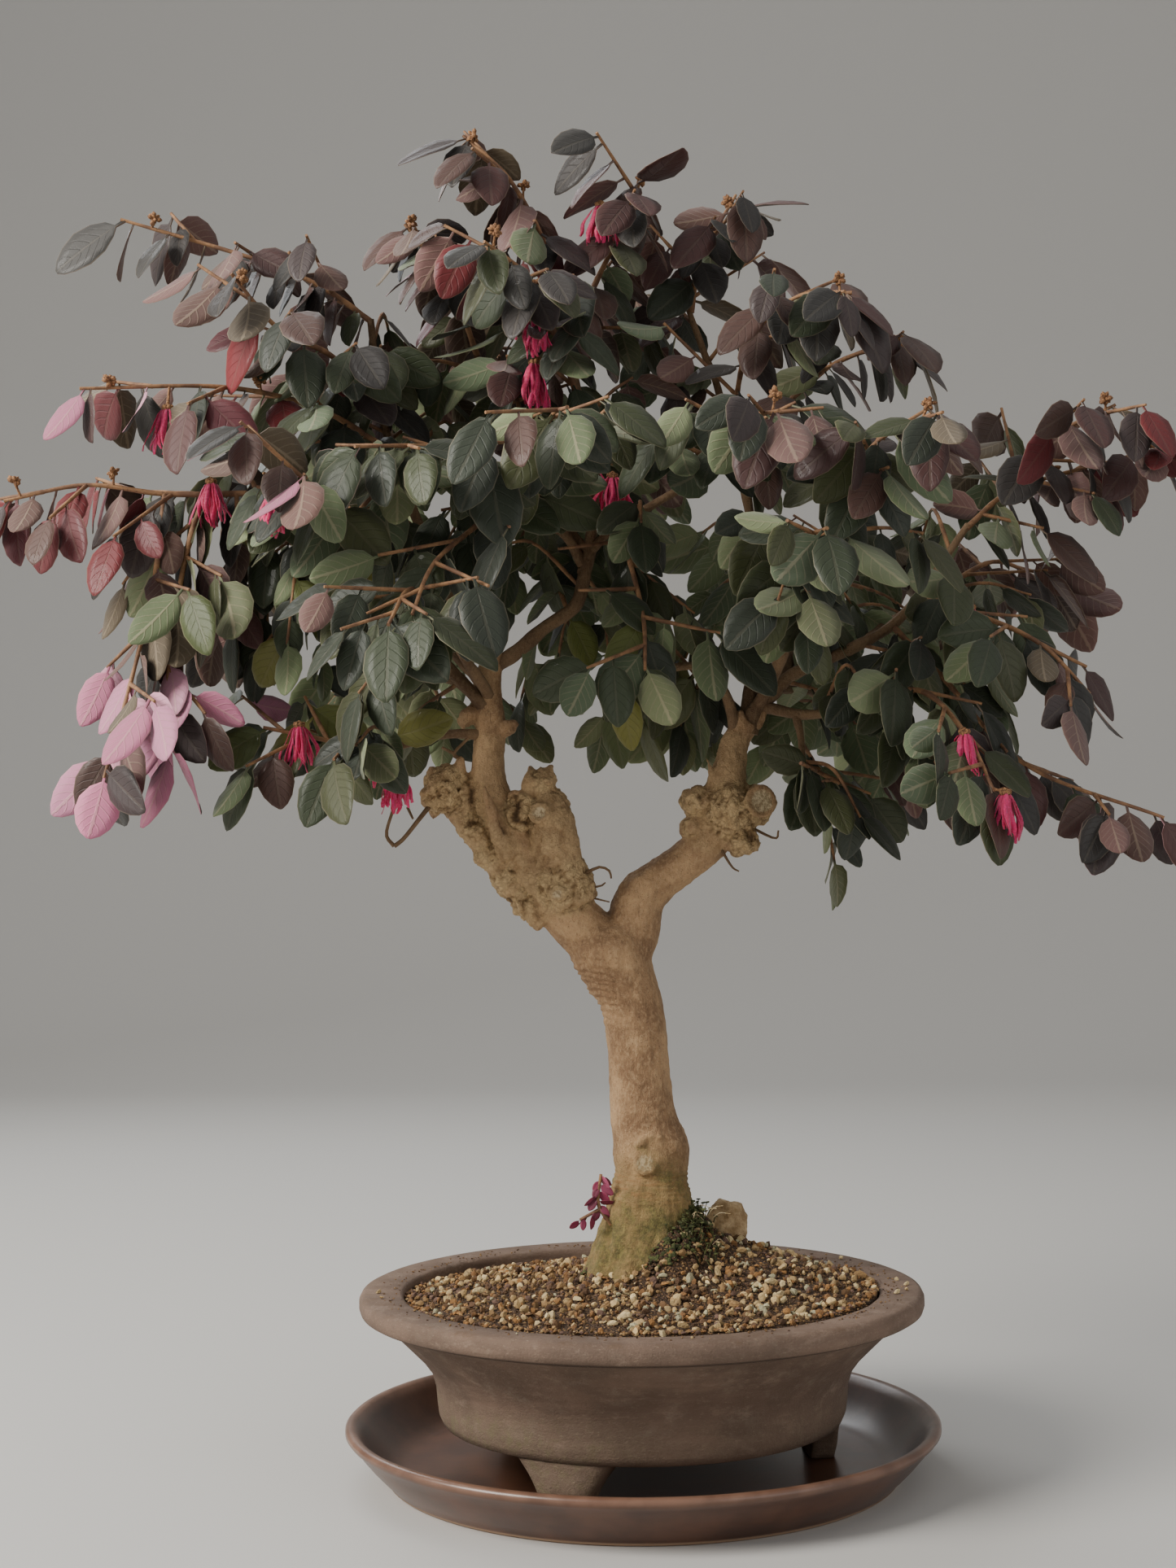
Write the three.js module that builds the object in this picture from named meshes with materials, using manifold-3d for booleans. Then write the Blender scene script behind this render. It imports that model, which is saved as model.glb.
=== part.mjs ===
// A loropetalum bonsai in its round clay pot, standing in a glazed saucer.
// Millimetres. X is to the right, Y is away from the front, Z is up.
// The origin is the centre of the saucer's underside.

import * as THREE from "three";
import { mergeVertices } from "three/addons/utils/BufferGeometryUtils.js";
import Module from "manifold-3d";

const wasm = await Module();
wasm.setup();

// Driving dimensions
const gap = 0.3; // clearance between pieces that touch
const saucerRadius = 151.5;
const saucerBaseRadius = 131;
const saucerHeight = 26;
const saucerFloor = 4.5; // height of the floor that the feet stand on
const saucerSides = 30;
const potRimRadius = 144.8;
const potTop = 93.2; // height of the rim's top face
const potUnderside = 27; // height of the bowl's underside, on its feet
const potFloor = 36; // height of the floor inside the bowl
const potInnerRadius = 122; // mouth of the bowl
const potSides = 30;
const drainRadius = 12;
const footCount = 3;
const footTurn = -24; // degrees from the front towards the right
const footRadius = 94; // middle of a foot, from the pot's axis
const footTopWidth = 50;
const footBottomWidth = 33;
const footDepth = 17;
const footWaist = 1.6; // how late a foot widens on its way up
const screenSide = 46;
const screenThickness = 1.5;
const screenHoles = 3; // along each side
const screenOpenShare = 0.7; // of the pitch between holes
const soilEdge = 89; // height of the soil at the wall
const soilCrown = 8; // how far the middle stands above the edge
const soilHeap = { x: 45, y: 10, height: 16, spread: 45 };
const soilFall = 0.03; // the surface falls towards the back
const soilRings = 5;
const granuleRelief = 1.4;
const rockCentre = [46, 25, 119.5];
const rockRadii = [11.5, 9.5, 14];
const trunkSides = 11;
const limbSides = 8;
const branchSides = 4;
const stemSides = 3;
const trunkRidge = 0.1; // unevenness, as a share of the radius
const limbRidge = 0.14;
const burlRoughness = 0.35;
const twigLength = [32, 58];
const leafLength = [29, 45]; // shortest and longest blade with its petiole
const leafWidthShare = 0.62;
const leafThickness = 1.1; // along the midrib
const leafArch = 0.16; // how far the blade bends back, as a share of its length
const leafFold = 0.16; // how far each half rises from the midrib, as a slope
const petioleRadius = 0.7;
const petioleShare = 0.14;
const petioleFlat = 0.35; // how far its flat underside lies below its middle, against its radius
const twigRadius = 0.55; // of a side twig at its foot
const tipSink = 2.5; // how deep the last leaf's root sits in the stem's end
const leafDroop = [0.7, 1.6]; // how far a blade hangs, against its stem's pull
const leafFacing = { middle: 30, reach: 50, pull: 0.65 }; // blades turn to the front or the back
const crownCentre = [-15, 0, 430];
const bareZones = [ // in front of the wood, where no leaf hangs
  { x: [-116, -18], y: [-90, 10], z: [270, 376] },
  { x: [14, 76], y: [-90, 10], z: [296, 384] },
  { x: [-64, -8], y: [-150, 2], z: [400, 486] },
  { x: [-160, -100], y: [-100, 20], z: [260, 322] },
];
const petalLength = 22;
const petalWidth = 2.4;
const petalsPerBloom = 4;
const petalSpread = [3, 8]; // how far a petal stands out from its head
const stalkRadius = 1;
const headRadius = 2.9;

// Seeded draws from 0 to 1
const draw = (seed, index) => {
  const value = Math.sin(seed * 12.9898 + index * 78.233) * 43758.5453;
  return value - Math.floor(value);
};
const between = (range, share) => range[0] + (range[1] - range[0]) * share;
const vector = (point) => new THREE.Vector3(point[0], point[1], point[2]);
const up = new THREE.Vector3(0, 0, 1);

// Solids
function toSolid(geometry) {
  geometry.deleteAttribute("normal");
  geometry.deleteAttribute("uv");
  const merged = mergeVertices(geometry, 1e-4);
  const vertProperties = new Float32Array(merged.attributes.position.array);
  const triVerts = new Uint32Array(merged.index.array);
  const solid = new wasm.Manifold(new wasm.Mesh({ numProp: 3, vertProperties, triVerts }));
  if (solid.volume() > 0) return solid;
  triVerts.reverse();
  return new wasm.Manifold(new wasm.Mesh({ numProp: 3, vertProperties, triVerts }));
}

function solidFrom(points, triangles) {
  const vertProperties = new Float32Array(points.flatMap((point) => [point.x, point.y, point.z]));
  const triVerts = new Uint32Array(triangles.flat());
  return new wasm.Manifold(new wasm.Mesh({ numProp: 3, vertProperties, triVerts }));
}

function toGeometry(solid) {
  const mesh = solid.getMesh();
  const geometry = new THREE.BufferGeometry();
  geometry.setAttribute("position", new THREE.BufferAttribute(mesh.vertProperties, 3));
  geometry.setIndex(new THREE.BufferAttribute(mesh.triVerts, 1));
  return geometry;
}

const join = (solids) => solids.reduce((whole, solid) => whole.add(solid));

// The largest body of a solid that a cut may have left in scraps
function wholeBody(solid) {
  const bodies = solid.decompose();
  return bodies.reduce((best, body) => (body.volume() > best.volume() ? body : best));
}

function lathe(profile, sides) {
  const points = profile.map(([radius, height]) => new THREE.Vector2(radius, height));
  return new THREE.LatheGeometry(points, sides).rotateX(Math.PI / 2);
}

const curveThrough = (points) => new THREE.CatmullRomCurve3(points, false, "catmullrom", 0.5);

// A tube along a line of [x, y, z, radius], grown on all sides where a clearance is cut
function tube(line, sides, grown = 0, ridge = 0) {
  const curve = curveThrough(line.map(vector));
  const last = line.length - 1;
  const points = [];
  const triangles = [];
  let normal = Math.abs(curve.getTangent(0).y) > 0.8 ? vector([1, 0, 0]) : vector([0, 1, 0]);
  for (let step = 0; step <= last; step += 1) {
    const tangent = curve.getTangent(step / last);
    normal = normal.clone().addScaledVector(tangent, -normal.dot(tangent)).normalize();
    const side = tangent.clone().cross(normal);
    const push = step === 0 ? -grown : step === last ? grown : 0;
    const centre = vector(line[step]).addScaledVector(tangent, push);
    for (let turn = 0; turn < sides; turn += 1) {
      const angle = (2 * Math.PI * turn) / sides;
      const rough = 1 + ridge * (draw(turn, step + line[0][2]) - 0.5);
      const radius = (line[step][3] + grown) * rough;
      const point = centre.clone().addScaledVector(normal, radius * Math.cos(angle));
      points.push(point.addScaledVector(side, radius * Math.sin(angle)));
      if (step === last) continue;
      const corner = step * sides + turn;
      const beside = step * sides + ((turn + 1) % sides);
      triangles.push([corner, beside, beside + sides], [corner, beside + sides, corner + sides]);
    }
  }
  for (let turn = 1; turn < sides - 1; turn += 1) {
    triangles.push([0, turn + 1, turn]);
    triangles.push([0, turn, turn + 1].map((corner) => corner + last * sides));
  }
  return solidFrom(points, triangles);
}

// A knobbly lump, as burls and stones are
function lump(centre, radii, seed, roughness, detail = 1) {
  const geometry = new THREE.IcosahedronGeometry(1, detail);
  geometry.deleteAttribute("normal");
  geometry.deleteAttribute("uv");
  const merged = mergeVertices(geometry, 1e-4);
  const position = merged.attributes.position;
  for (let index = 0; index < position.count; index += 1) {
    const swell = 1 + roughness * (draw(seed, index) - 0.5);
    position.setXYZ(
      index,
      centre[0] + position.getX(index) * radii[0] * swell,
      centre[1] + position.getY(index) * radii[1] * swell,
      centre[2] + position.getZ(index) * radii[2] * swell,
    );
  }
  return toSolid(merged);
}

// Saucer
function makeSaucer() {
  return toSolid(lathe([
    [0, 0],
    [saucerBaseRadius, 0],
    [saucerBaseRadius + 2, 3],
    [saucerRadius - 4.5, 19],
    [saucerRadius, saucerHeight - 2.5],
    [saucerRadius - 1.5, saucerHeight],
    [saucerRadius - 4.5, saucerHeight],
    [saucerRadius - 8.5, saucerHeight - 4],
    [saucerBaseRadius, 9],
    [saucerBaseRadius - 9, saucerFloor],
    [0, saucerFloor],
  ], saucerSides));
}

// Pot: a thrown bowl with a wide flat rim, a drainage hole and three feet
const potInside = [
  [92, potFloor],
  [97, 48],
  [106, 63],
  [120, 77],
  [potInnerRadius, 84],
];

function makePot() {
  const bowl = toSolid(lathe([
    [drainRadius, potUnderside],
    [101, potUnderside],
    [104.6, 36],
    [105.5, 45.5],
    [108.5, 54],
    [114, 61],
    [128, 75],
    [131, 80],
    [potRimRadius - 1.8, 82.5],
    [potRimRadius, 86],
    [potRimRadius, 90],
    [potRimRadius - 3.3, potTop],
    [potInnerRadius + 1.5, potTop - 0.6],
    ...potInside.toReversed(),
    [drainRadius, potFloor],
    [drainRadius, potUnderside],
  ], potSides));
  const parts = [bowl];
  for (let count = 0; count < footCount; count += 1) {
    const height = potUnderside + 2 - saucerFloor - gap;
    const foot = new THREE.BoxGeometry(1, footDepth, height, 4, 1, 3);
    const position = foot.attributes.position;
    for (let index = 0; index < position.count; index += 1) {
      const rise = Math.max(position.getZ(index) / height + 0.5, 0);
      const waist = rise ** footWaist;
      const across = position.getX(index) * between([footBottomWidth, footTopWidth], waist);
      const inward = position.getY(index) * between([0.8, 1], rise) - 2 * (1 - rise);
      const bend = (across * across) / (2 * footRadius);
      position.setXYZ(index, across, -footRadius + bend - inward, saucerFloor + gap + rise * height);
    }
    foot.rotateZ(THREE.MathUtils.degToRad(footTurn + (360 / footCount) * count));
    parts.push(toSolid(foot));
  }
  return join(parts);
}

// Drainage screen over the hole
function makeScreen() {
  const level = potFloor + gap + screenThickness / 2;
  const pitch = screenSide / (screenHoles + 0.5);
  const hole = screenOpenShare * pitch;
  let plate = toSolid(new THREE.BoxGeometry(screenSide, screenSide, screenThickness).translate(0, 0, level));
  for (let row = 0; row < screenHoles; row += 1) {
    for (let column = 0; column < screenHoles; column += 1) {
      const x = (column - (screenHoles - 1) / 2) * pitch;
      const y = (row - (screenHoles - 1) / 2) * pitch;
      const cutter = new THREE.BoxGeometry(hole, hole, 4 * screenThickness);
      plate = plate.subtract(toSolid(cutter.translate(x, y, level)));
    }
  }
  return plate;
}

// Soil: granules heaped a little to the right and the back
function soilHeight(x, y) {
  const crown = 1 - (x * x + y * y) / (potInnerRadius * potInnerRadius);
  const away = (x - soilHeap.x) ** 2 + (y - soilHeap.y) ** 2;
  const heap = soilHeap.height * Math.exp(-away / (2 * soilHeap.spread ** 2));
  return soilEdge + soilCrown * crown + heap - soilFall * y;
}

function makeSoil(cutters) {
  const rim = potInnerRadius - 2 * gap;
  const profile = [[0, potFloor + gap]];
  for (const [radius, height] of potInside.slice(0, 4)) {
    profile.push([radius - 4 * gap, height + gap]);
  }
  for (let ring = 0; ring <= soilRings; ring += 1) {
    profile.push([rim * (1 - ring / soilRings), soilEdge + 1]);
  }
  const geometry = lathe(profile, potSides);
  geometry.deleteAttribute("normal");
  geometry.deleteAttribute("uv");
  const merged = mergeVertices(geometry, 1e-4);
  const position = merged.attributes.position;
  for (let index = 0; index < position.count; index += 1) {
    if (position.getZ(index) < soilEdge) continue;
    const x = position.getX(index);
    const y = position.getY(index);
    const inner = Math.hypot(x, y) < rim - 1;
    const shift = inner ? 5 : 0;
    const newX = x + shift * (draw(index, 1) - 0.5);
    const newY = y + shift * (draw(index, 2) - 0.5);
    const grain = granuleRelief * (2 * draw(index, 3) - 1);
    position.setXYZ(index, newX, newY, soilHeight(newX, newY) + grain);
  }
  const screenSpace = screenSide + 2 * gap;
  const screen = new THREE.BoxGeometry(screenSpace, screenSpace, 2 * (screenThickness + 2 * gap));
  const solids = [toSolid(screen.translate(0, 0, potFloor)), ...cutters];
  return wholeBody(solids.reduce((soil, cutter) => soil.subtract(cutter), toSolid(merged)));
}

// Tree wood. Each line is [x, y, z, radius].
const trunkLine = [
  [1, 0, 72, 33],
  [2, 0, 92, 33.5],
  [3.6, 0, 104, 31],
  [5.3, 0, 122, 25.5],
  [5.6, 0, 140, 21.4],
  [6.2, 0, 151, 19],
  [5.8, 0, 163, 19.8],
  [2.6, 0, 180, 17],
  [0, 0, 216, 15.5],
  [-3, 0, 239, 16.3],
  [-9, 0, 254, 18.6],
  [-15, 0, 268, 20.5],
  [-17, 0, 277, 16],
];
const limbLines = [
  // left limb, up to its cut top
  [
    [-10, 0, 258, 16],
    [-26, -1, 276.5, 14.6],
    [-39.4, -2, 295, 13.8],
    [-54, -2, 316, 12],
    [-66.6, -1, 334, 11.4],
    [-75.4, 0, 350, 10.4],
    [-76.5, 0, 367, 8.4],
    [-75, 0, 384.5, 8.1],
    [-76.7, 0, 401.6, 7.6],
    [-73.5, 0, 421, 5.6],
  ],
  // short dead stub between the limbs
  [
    [-33, -7, 290, 14],
    [-40, -9, 312, 12.5],
    [-43, -9, 331, 12],
    [-45, -8, 345, 10.5],
    [-48, -8, 356, 6.5],
  ],
  // right limb, up to its cut top
  [
    [-8, 0, 260, 15],
    [-2.4, 0, 273, 14],
    [1.2, 0, 291, 13.2],
    [12.4, 0, 302, 11.5],
    [27.8, 0, 313, 10.8],
    [40, 0, 324.5, 11],
    [45, 0, 340, 12],
    [49.3, 0, 360, 8.9],
    [53.3, 0, 374, 7.2],
    [60.3, 0, 384, 5.9],
  ],
];
const rootLines = [
  [[0, -8, 114, 13], [-6, -24, 104, 9], [-9, -35, 95, 6]],
  [[-6, 0, 116, 12], [-17, -2, 107, 8.5], [-25, -3, 97, 5.5]],
  [[8, -6, 114, 13], [22, -19, 104, 9], [32, -27, 96, 6]],
  [[10, 4, 114, 12], [23, 6, 106, 8.5], [32, 9, 98, 6]],
  [[0, 8, 114, 13], [-8, 25, 104, 9], [-12, 37, 97, 6]],
];
// Burls and knobs: centre, radii
const burls = [
  [[-97.5, 0, 350], [12, 10, 12]],
  [[-87, 1, 344], [10, 9, 9]],
  [[-71, -4, 314], [9, 8, 10]],
  [[-55, -6, 293], [9, 8, 10]],
  [[-37, -8, 300], [15, 12, 12]],
  [[50, -4, 337], [15, 13, 13]],
  [[32, -3, 341.5], [9.4, 8.5, 8.5]],
  [[63, -2, 341], [9, 9, 10.5]],
  [[3.5, -11, 159], [9, 9, 9]],
];
// Bare branches that carry the crown
const branchLines = {
  leftOut: [[-76, -3, 392, 4.2], [-104, -14, 422, 3.2], [-132, -28, 456, 2.8],
    [-165, -40, 488, 2.4], [-196, -45, 499, 1.8]],
  leftHigh: [[-74, 4, 412, 4], [-94, 9, 448, 3.2], [-114, 8, 494, 2.7],
    [-130, 0, 548, 2.2], [-136, -6, 598, 1.7]],
  leftBack: [[-76, 5, 402, 4], [-100, 30, 432, 3], [-128, 62, 470, 2.4], [-150, 95, 508, 1.8]],
  leftRear: [[-76, 5, 392, 3.6], [-92, 40, 408, 2.8], [-112, 80, 420, 2.3], [-128, 115, 424, 1.7]],
  leftFront: [[-75, -4, 398, 3.6], [-86, -32, 416, 2.7], [-95, -62, 430, 2.2], [-102, -92, 440, 1.7]],
  leftLow: [[-76, 0, 378, 3], [-100, -14, 378, 2.2], [-133, -30, 368, 1.6]],
  leader: [[-74, 0, 413, 4], [-66, 0, 419.5, 3.8], [-49, 0, 433, 3.6], [-31, 0, 446, 3.5],
    [-25, 0, 462, 3.4], [-22, 0, 478, 3.2], [-20, 0, 504, 2.9], [-27, 6, 556, 2.3], [-36, 4, 606, 1.8]],
  leaderFront: [[-26, 0, 468, 3], [-36, -6, 484, 2.6], [-48.5, -14, 490, 2.3],
    [-59, -26, 504, 2], [-70, -44, 512, 1.6]],
  leaderLeft: [[-23, 0, 474, 2.8], [-43, 8, 504, 2.3], [-62, 20, 545, 2], [-82, 14, 584, 1.6]],
  leaderRight: [[-23, 0, 474, 2.8], [-6, -6, 488, 2.5], [18, -22, 499, 2.2], [38, -44, 508, 1.7]],
  leaderBack: [[-26, 0, 464, 3], [-22, 36, 498, 2.5], [-19, 75, 526, 2.1], [-18, 108, 542, 1.7]],
  rightOut: [[60, 0, 378, 4.8], [62, 0, 388, 4.6], [70, 0, 397, 4.2], [79, 0, 406, 3.8],
    [90, 0, 412.6, 3.4], [115, 0, 422, 3], [138, 0, 436, 2.6], [160, 4, 462, 2.2], [178, 6, 488, 1.7]],
  rightLeader: [[59, 2, 380, 4], [66, 12, 430, 3.2], [64, 24, 500, 2.7], [50, 26, 560, 2.2],
    [32, 24, 612, 1.7]],
  rightInner: [[54, 0, 372, 3.6], [48, -6, 398, 2.8], [36, -12, 412, 2.4], [14, -20, 410, 2],
    [0, -26, 409, 1.6]],
  rightLow: [[68, 0, 392, 3.4], [88, -6, 387, 2.7], [109, -14, 389, 2.3], [124, -24, 397, 1.8]],
  rightDrop: [[84, -5, 388, 2.4], [87, -8, 372, 2], [87, -10, 358, 1.5]],
  rightFront: [[66, -2, 394, 3.6], [82, -38, 430, 2.8], [94, -72, 464, 2.3], [102, -100, 486, 1.7]],
  rightBack: [[64, 2, 390, 3.8], [90, 45, 425, 2.9], [112, 86, 458, 2.3], [126, 120, 478, 1.7]],
  rightRear: [[76, 2, 402, 3.2], [98, 45, 404, 2.6], [112, 90, 400, 1.8]],
  rightFar: [[112, 1, 420, 2.8], [148, 45, 446, 2.3], [184, 80, 470, 1.7]],
};

function makeWood(grown) {
  const wider = (burl) => burl[1].map((radius) => radius + grown);
  return join([
    tube(trunkLine, trunkSides, grown, trunkRidge),
    ...limbLines.map((line) => tube(line, limbSides, grown, limbRidge)),
    ...rootLines.map((line) => tube(line, branchSides, grown)),
    ...burls.map((burl, index) => {
      const detail = burl[1][0] > 11 ? 1 : 0;
      return lump(burl[0], wider(burl), index + 3, burlRoughness, detail);
    }),
    ...Object.values(branchLines).map((line) => tube(line, branchSides, grown)),
  ]);
}

// Leaves. A blade is a thin lens with a petiole, folded up along its midrib and arched. The one
// that ends a side twig has the twig as its stalk, from the twig's foot on.
function leafFrame(root, tangent, hand, seed, shownBelow) {
  const outward = root.clone().sub(vector(crownCentre)).normalize();
  const axis = tangent.clone().multiplyScalar(hand === 0 ? 1 : 0.45);
  axis.addScaledVector(sideways(tangent, root), 0.8 * hand);
  axis.addScaledVector(up, -between(leafDroop, draw(seed, 1)));
  axis.add(vector([draw(seed, 2) - 0.5, draw(seed, 3) - 0.5, draw(seed, 4) - 0.5]).multiplyScalar(0.5));
  axis.normalize();
  const normal = outward.clone().multiplyScalar(0.5).addScaledVector(up, 0.35);
  const facing = (root.y - leafFacing.middle) / leafFacing.reach;
  normal.y += leafFacing.pull * THREE.MathUtils.clamp(facing, -1, 1);
  normal.add(vector([draw(seed, 5) - 0.5, draw(seed, 6) - 0.5, draw(seed, 7) - 0.5]));
  if (draw(seed, 8) < shownBelow) normal.negate();
  normal.addScaledVector(axis, -normal.dot(axis)).normalize();
  return { root, axis, normal };
}

function leafSolid(frame, length, grown = 0) {
  const { root, axis, normal } = frame;
  const across = normal.clone().cross(axis);
  const width = length * leafWidthShare * 0.5 + grown;
  const half = leafThickness / 2 + grown;
  const place = (along, aside, lift) => {
    const arch = -leafArch * along * along * length;
    const fold = leafFold * Math.abs(aside);
    const point = root.clone().addScaledVector(axis, along * length);
    point.addScaledVector(across, aside);
    return point.addScaledVector(normal, arch + fold + lift);
  };
  const petiole = petioleRadius + grown;
  const blade = [
    place(petioleShare, -petiole, -petioleFlat * petiole),
    place(petioleShare, petiole, -petioleFlat * petiole),
    place(petioleShare, 0, petiole),
    place(0.38, -width, 0),
    place(0.74, -0.78 * width, 0),
    place(1 + grown / length, 0, 0),
    place(0.74, 0.78 * width, 0),
    place(0.38, width, 0),
    place(0.55, 0, half),
    place(0.55, 0, -half),
  ];
  const upper = [[0, 3, 2], [2, 3, 8], [8, 3, 4], [8, 4, 5], [8, 5, 6], [8, 6, 7], [8, 7, 2], [2, 7, 1]];
  const outline = [0, 3, 4, 5, 6, 7, 1];
  const lower = outline.map((corner, index) => [outline[(index + 1) % outline.length], corner, 9]);
  if (!frame.foot) {
    return solidFrom([...blade, root], [...upper, ...lower, [10, 0, 2], [10, 2, 1], [10, 1, 0]]);
  }
  const run = blade[2].clone().sub(frame.foot).normalize();
  const side = across.clone().addScaledVector(run, -across.dot(run)).normalize();
  const lift = run.clone().cross(side);
  const thick = twigRadius + grown;
  const ring = [[-1, -petioleFlat], [1, -petioleFlat], [0, 1]].map(([aside, rise]) =>
    frame.foot.clone().addScaledVector(side, aside * thick).addScaledVector(lift, rise * thick));
  const twig = [[10, 12, 11], [10, 0, 2], [10, 2, 12], [11, 12, 2], [11, 2, 1], [10, 11, 1], [10, 1, 0]];
  return solidFrom([...blade, ...ring], [...upper, ...lower, ...twig]);
}

// Sprays: where a stem leaves its branch, its further points, the share of leaves that show
// their underside, and the spray whose stem it grows from where that isn't a bare branch
const sprays = {
  left_tip: { line: [[-195, -45, 499], [-236, -46, 499], [-275, -51, 503], [-314, -58, 494]], below: 0.2 },
  left_drop: {
    line: [[-236, -46, 499], [-240, -56, 450], [-249, -68, 400], [-259, -80, 354]],
    below: 0.8,
    from: "left_tip",
  },
  left_fall: {
    line: [[-216, -46, 499], [-225, -54, 462], [-231, -62, 408], [-229, -70, 366]],
    below: 0.5,
    from: "left_tip",
  },
  left_high: { line: [[-136, -6, 597], [-158, -12, 612], [-190, -20, 625], [-262, -30, 645]], below: 0.3 },
  left_mid: { line: [[-124, 3, 528], [-160, -30, 545], [-205, -55, 551], [-272, -76, 546]], below: 0.4 },
  left_up: { line: [[-131, -1, 552], [-152, -38, 570], [-176, -64, 578], [-196, -84, 600]], below: 0.2 },
  left_front: { line: [[-136, -30, 460], [-142, -76, 480], [-156, -108, 492], [-184, -132, 516]], below: 0.5 },
  left_low: { line: [[-132, -30, 368], [-156, -42, 374], [-186, -52, 380]], below: 0.1 },
  left_back_high: { line: [[-149, 94, 507], [-176, 118, 530], [-212, 136, 532]], below: 0.1 },
  left_back_mid: { line: [[-130, 64, 473], [-168, 82, 484], [-208, 92, 474], [-238, 96, 448]], below: 0.2 },
  left_rear_low: { line: [[-127, 114, 424], [-148, 142, 426], [-166, 168, 408]], below: 0.1 },
  left_rear_high: { line: [[-124, 3, 528], [-134, 46, 560], [-150, 84, 584], [-170, 112, 592]], below: 0.1 },
  front_left_low: { line: [[-101, -91, 440], [-108, -120, 438], [-114, -152, 418]], below: 0.1 },
  front_left: { line: [[-60, -28, 505], [-76, -74, 478], [-96, -112, 452], [-104, -142, 424]], below: 0.1 },
  front_mid: { line: [[-69, -43, 512], [-98, -90, 512], [-132, -122, 506]], below: 0.1 },
  front_centre: { line: [[-50, -16, 491], [-46, -62, 510], [-40, -108, 522], [-32, -146, 518]], below: 0.1 },
  top_left: { line: [[-36, 4, 604], [-44, -10, 636], [-62, -18, 668], [-86, -16, 692]], below: 0.2 },
  top_mid: { line: [[-32, 5, 584], [-16, -4, 620], [1, -12, 650], [6, -18, 668]], below: 0.1 },
  top_right: { line: [[34, 24, 608], [40, 20, 640], [60, 12, 662]], below: 0.2 },
  top_front: { line: [[-25, 5, 548], [-38, -36, 580], [-52, -66, 602], [-72, -92, 612]], below: 0.1 },
  top_side: { line: [[-81, 14, 583], [-94, 6, 618], [-118, -2, 650]], below: 0.3 },
  top_back: { line: [[-33, 5, 590], [-24, 48, 620], [-16, 88, 632]], below: 0.1 },
  back_left: { line: [[-64, 20, 550], [-70, 62, 592], [-84, 98, 612]], below: 0.1 },
  back_mid: { line: [[-18, 107, 541], [-15, 138, 556], [-12, 170, 538]], below: 0.1 },
  right_high: { line: [[55, 26, 545], [62, -18, 580], [84, -38, 598], [112, -46, 598]], below: 0.1 },
  right_shoulder: { line: [[62, 25, 515], [88, 14, 560], [118, 2, 578], [150, -8, 580]], below: 0.1 },
  right_mid: { line: [[96, -76, 468], [112, -104, 506], [138, -124, 518]], below: 0.3 },
  right_far: { line: [[177, 6, 486], [202, 16, 507], [240, 24, 520], [288, 22, 531]], below: 0.3 },
  right_crest: { line: [[202, 16, 507], [220, 4, 532], [254, -8, 548]], below: 0.2, from: "right_far" },
  right_low_far: { line: [[136, 0, 434], [160, -16, 404], [198, -34, 358], [262, -52, 330]], below: 0.3 },
  right_low: { line: [[123, -23, 396], [144, -52, 394], [160, -78, 370], [170, -92, 342]], below: 0.3 },
  right_mid_low: { line: [[150, 2, 450], [176, -26, 436], [204, -46, 418], [226, -54, 392]], below: 0.2 },
  right_under: { line: [[87, -9, 362], [94, -16, 357], [104, -24, 350]], below: 0.4 },
  centre_hang: { line: [[-6, -7, 487], [-1, -30, 462], [4, -58, 432], [4, -78, 404]], below: 0.3 },
  centre_low: { line: [[36, -12, 412], [30, 16, 408], [18, 52, 396]], below: 0.2 },
  front_right: { line: [[37, -43, 507], [48, -84, 524], [66, -134, 518]], below: 0.3 },
  front_right_low: { line: [[84, -42, 434], [74, -84, 462], [88, -128, 464]], below: 0.6 },
  right_back: { line: [[183, 79, 469], [212, 96, 482], [246, 102, 466]], below: 0.1 },
  right_rear_high: { line: [[125, 119, 477], [144, 146, 500], [168, 168, 494]], below: 0.1 },
  right_rear_low: { line: [[111, 89, 400], [130, 122, 396], [148, 152, 372]], below: 0.1 },
  back_right: { line: [[104, 70, 444], [84, 110, 470], [70, 146, 476]], below: 0.1 },
};
const stemRadii = [1.7, 0.9]; // at the foot and at the tip
const twigCount = 5; // places for side twigs along a stem
const shownTwigs = [0, 1, 3]; // the ones that are filled
const leafPitch = 11; // between places for leaves along a stem
const leafStep = 3; // every third place is filled

// The middle of a stem's tube, whose stretches between its points are straight
function tubeMiddle(points, share) {
  const place = share * (points.length - 1);
  const first = Math.min(Math.floor(place), points.length - 2);
  return points[first].clone().lerp(points[first + 1], place - first);
}

function sideways(tangent, root) {
  const outward = root.clone().sub(vector(crownCentre)).normalize();
  const lift = up.clone().multiplyScalar(0.8).addScaledVector(outward, 0.6);
  lift.add(vector([0.1, -0.35, 0]));
  return tangent.clone().cross(lift).normalize();
}

const twigShare = (number) => (number + 0.7) / (twigCount + 0.6);

function twigLine(curve, number, seed) {
  const share = twigShare(number);
  const foot = curve.getPoint(share);
  const tangent = curve.getTangent(share);
  const hand = number % 2 === 0 ? 1 : -1;
  const aim = tangent.clone().multiplyScalar(0.6);
  aim.addScaledVector(sideways(tangent, foot), 0.8 * hand);
  aim.add(vector([draw(seed, 1) - 0.5, draw(seed, 2) - 0.5, draw(seed, 3) - 0.4]).multiplyScalar(0.6));
  aim.normalize();
  const length = between(twigLength, draw(seed, 4)) * (1 - 0.35 * share);
  return [foot, foot.clone().addScaledVector(aim, length)];
}

const withRadii = (points, [thick, thin]) =>
  points.map((point, index) => [
    point.x,
    point.y,
    point.z,
    between([thick, thin], index / (points.length - 1)),
  ]);

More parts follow.
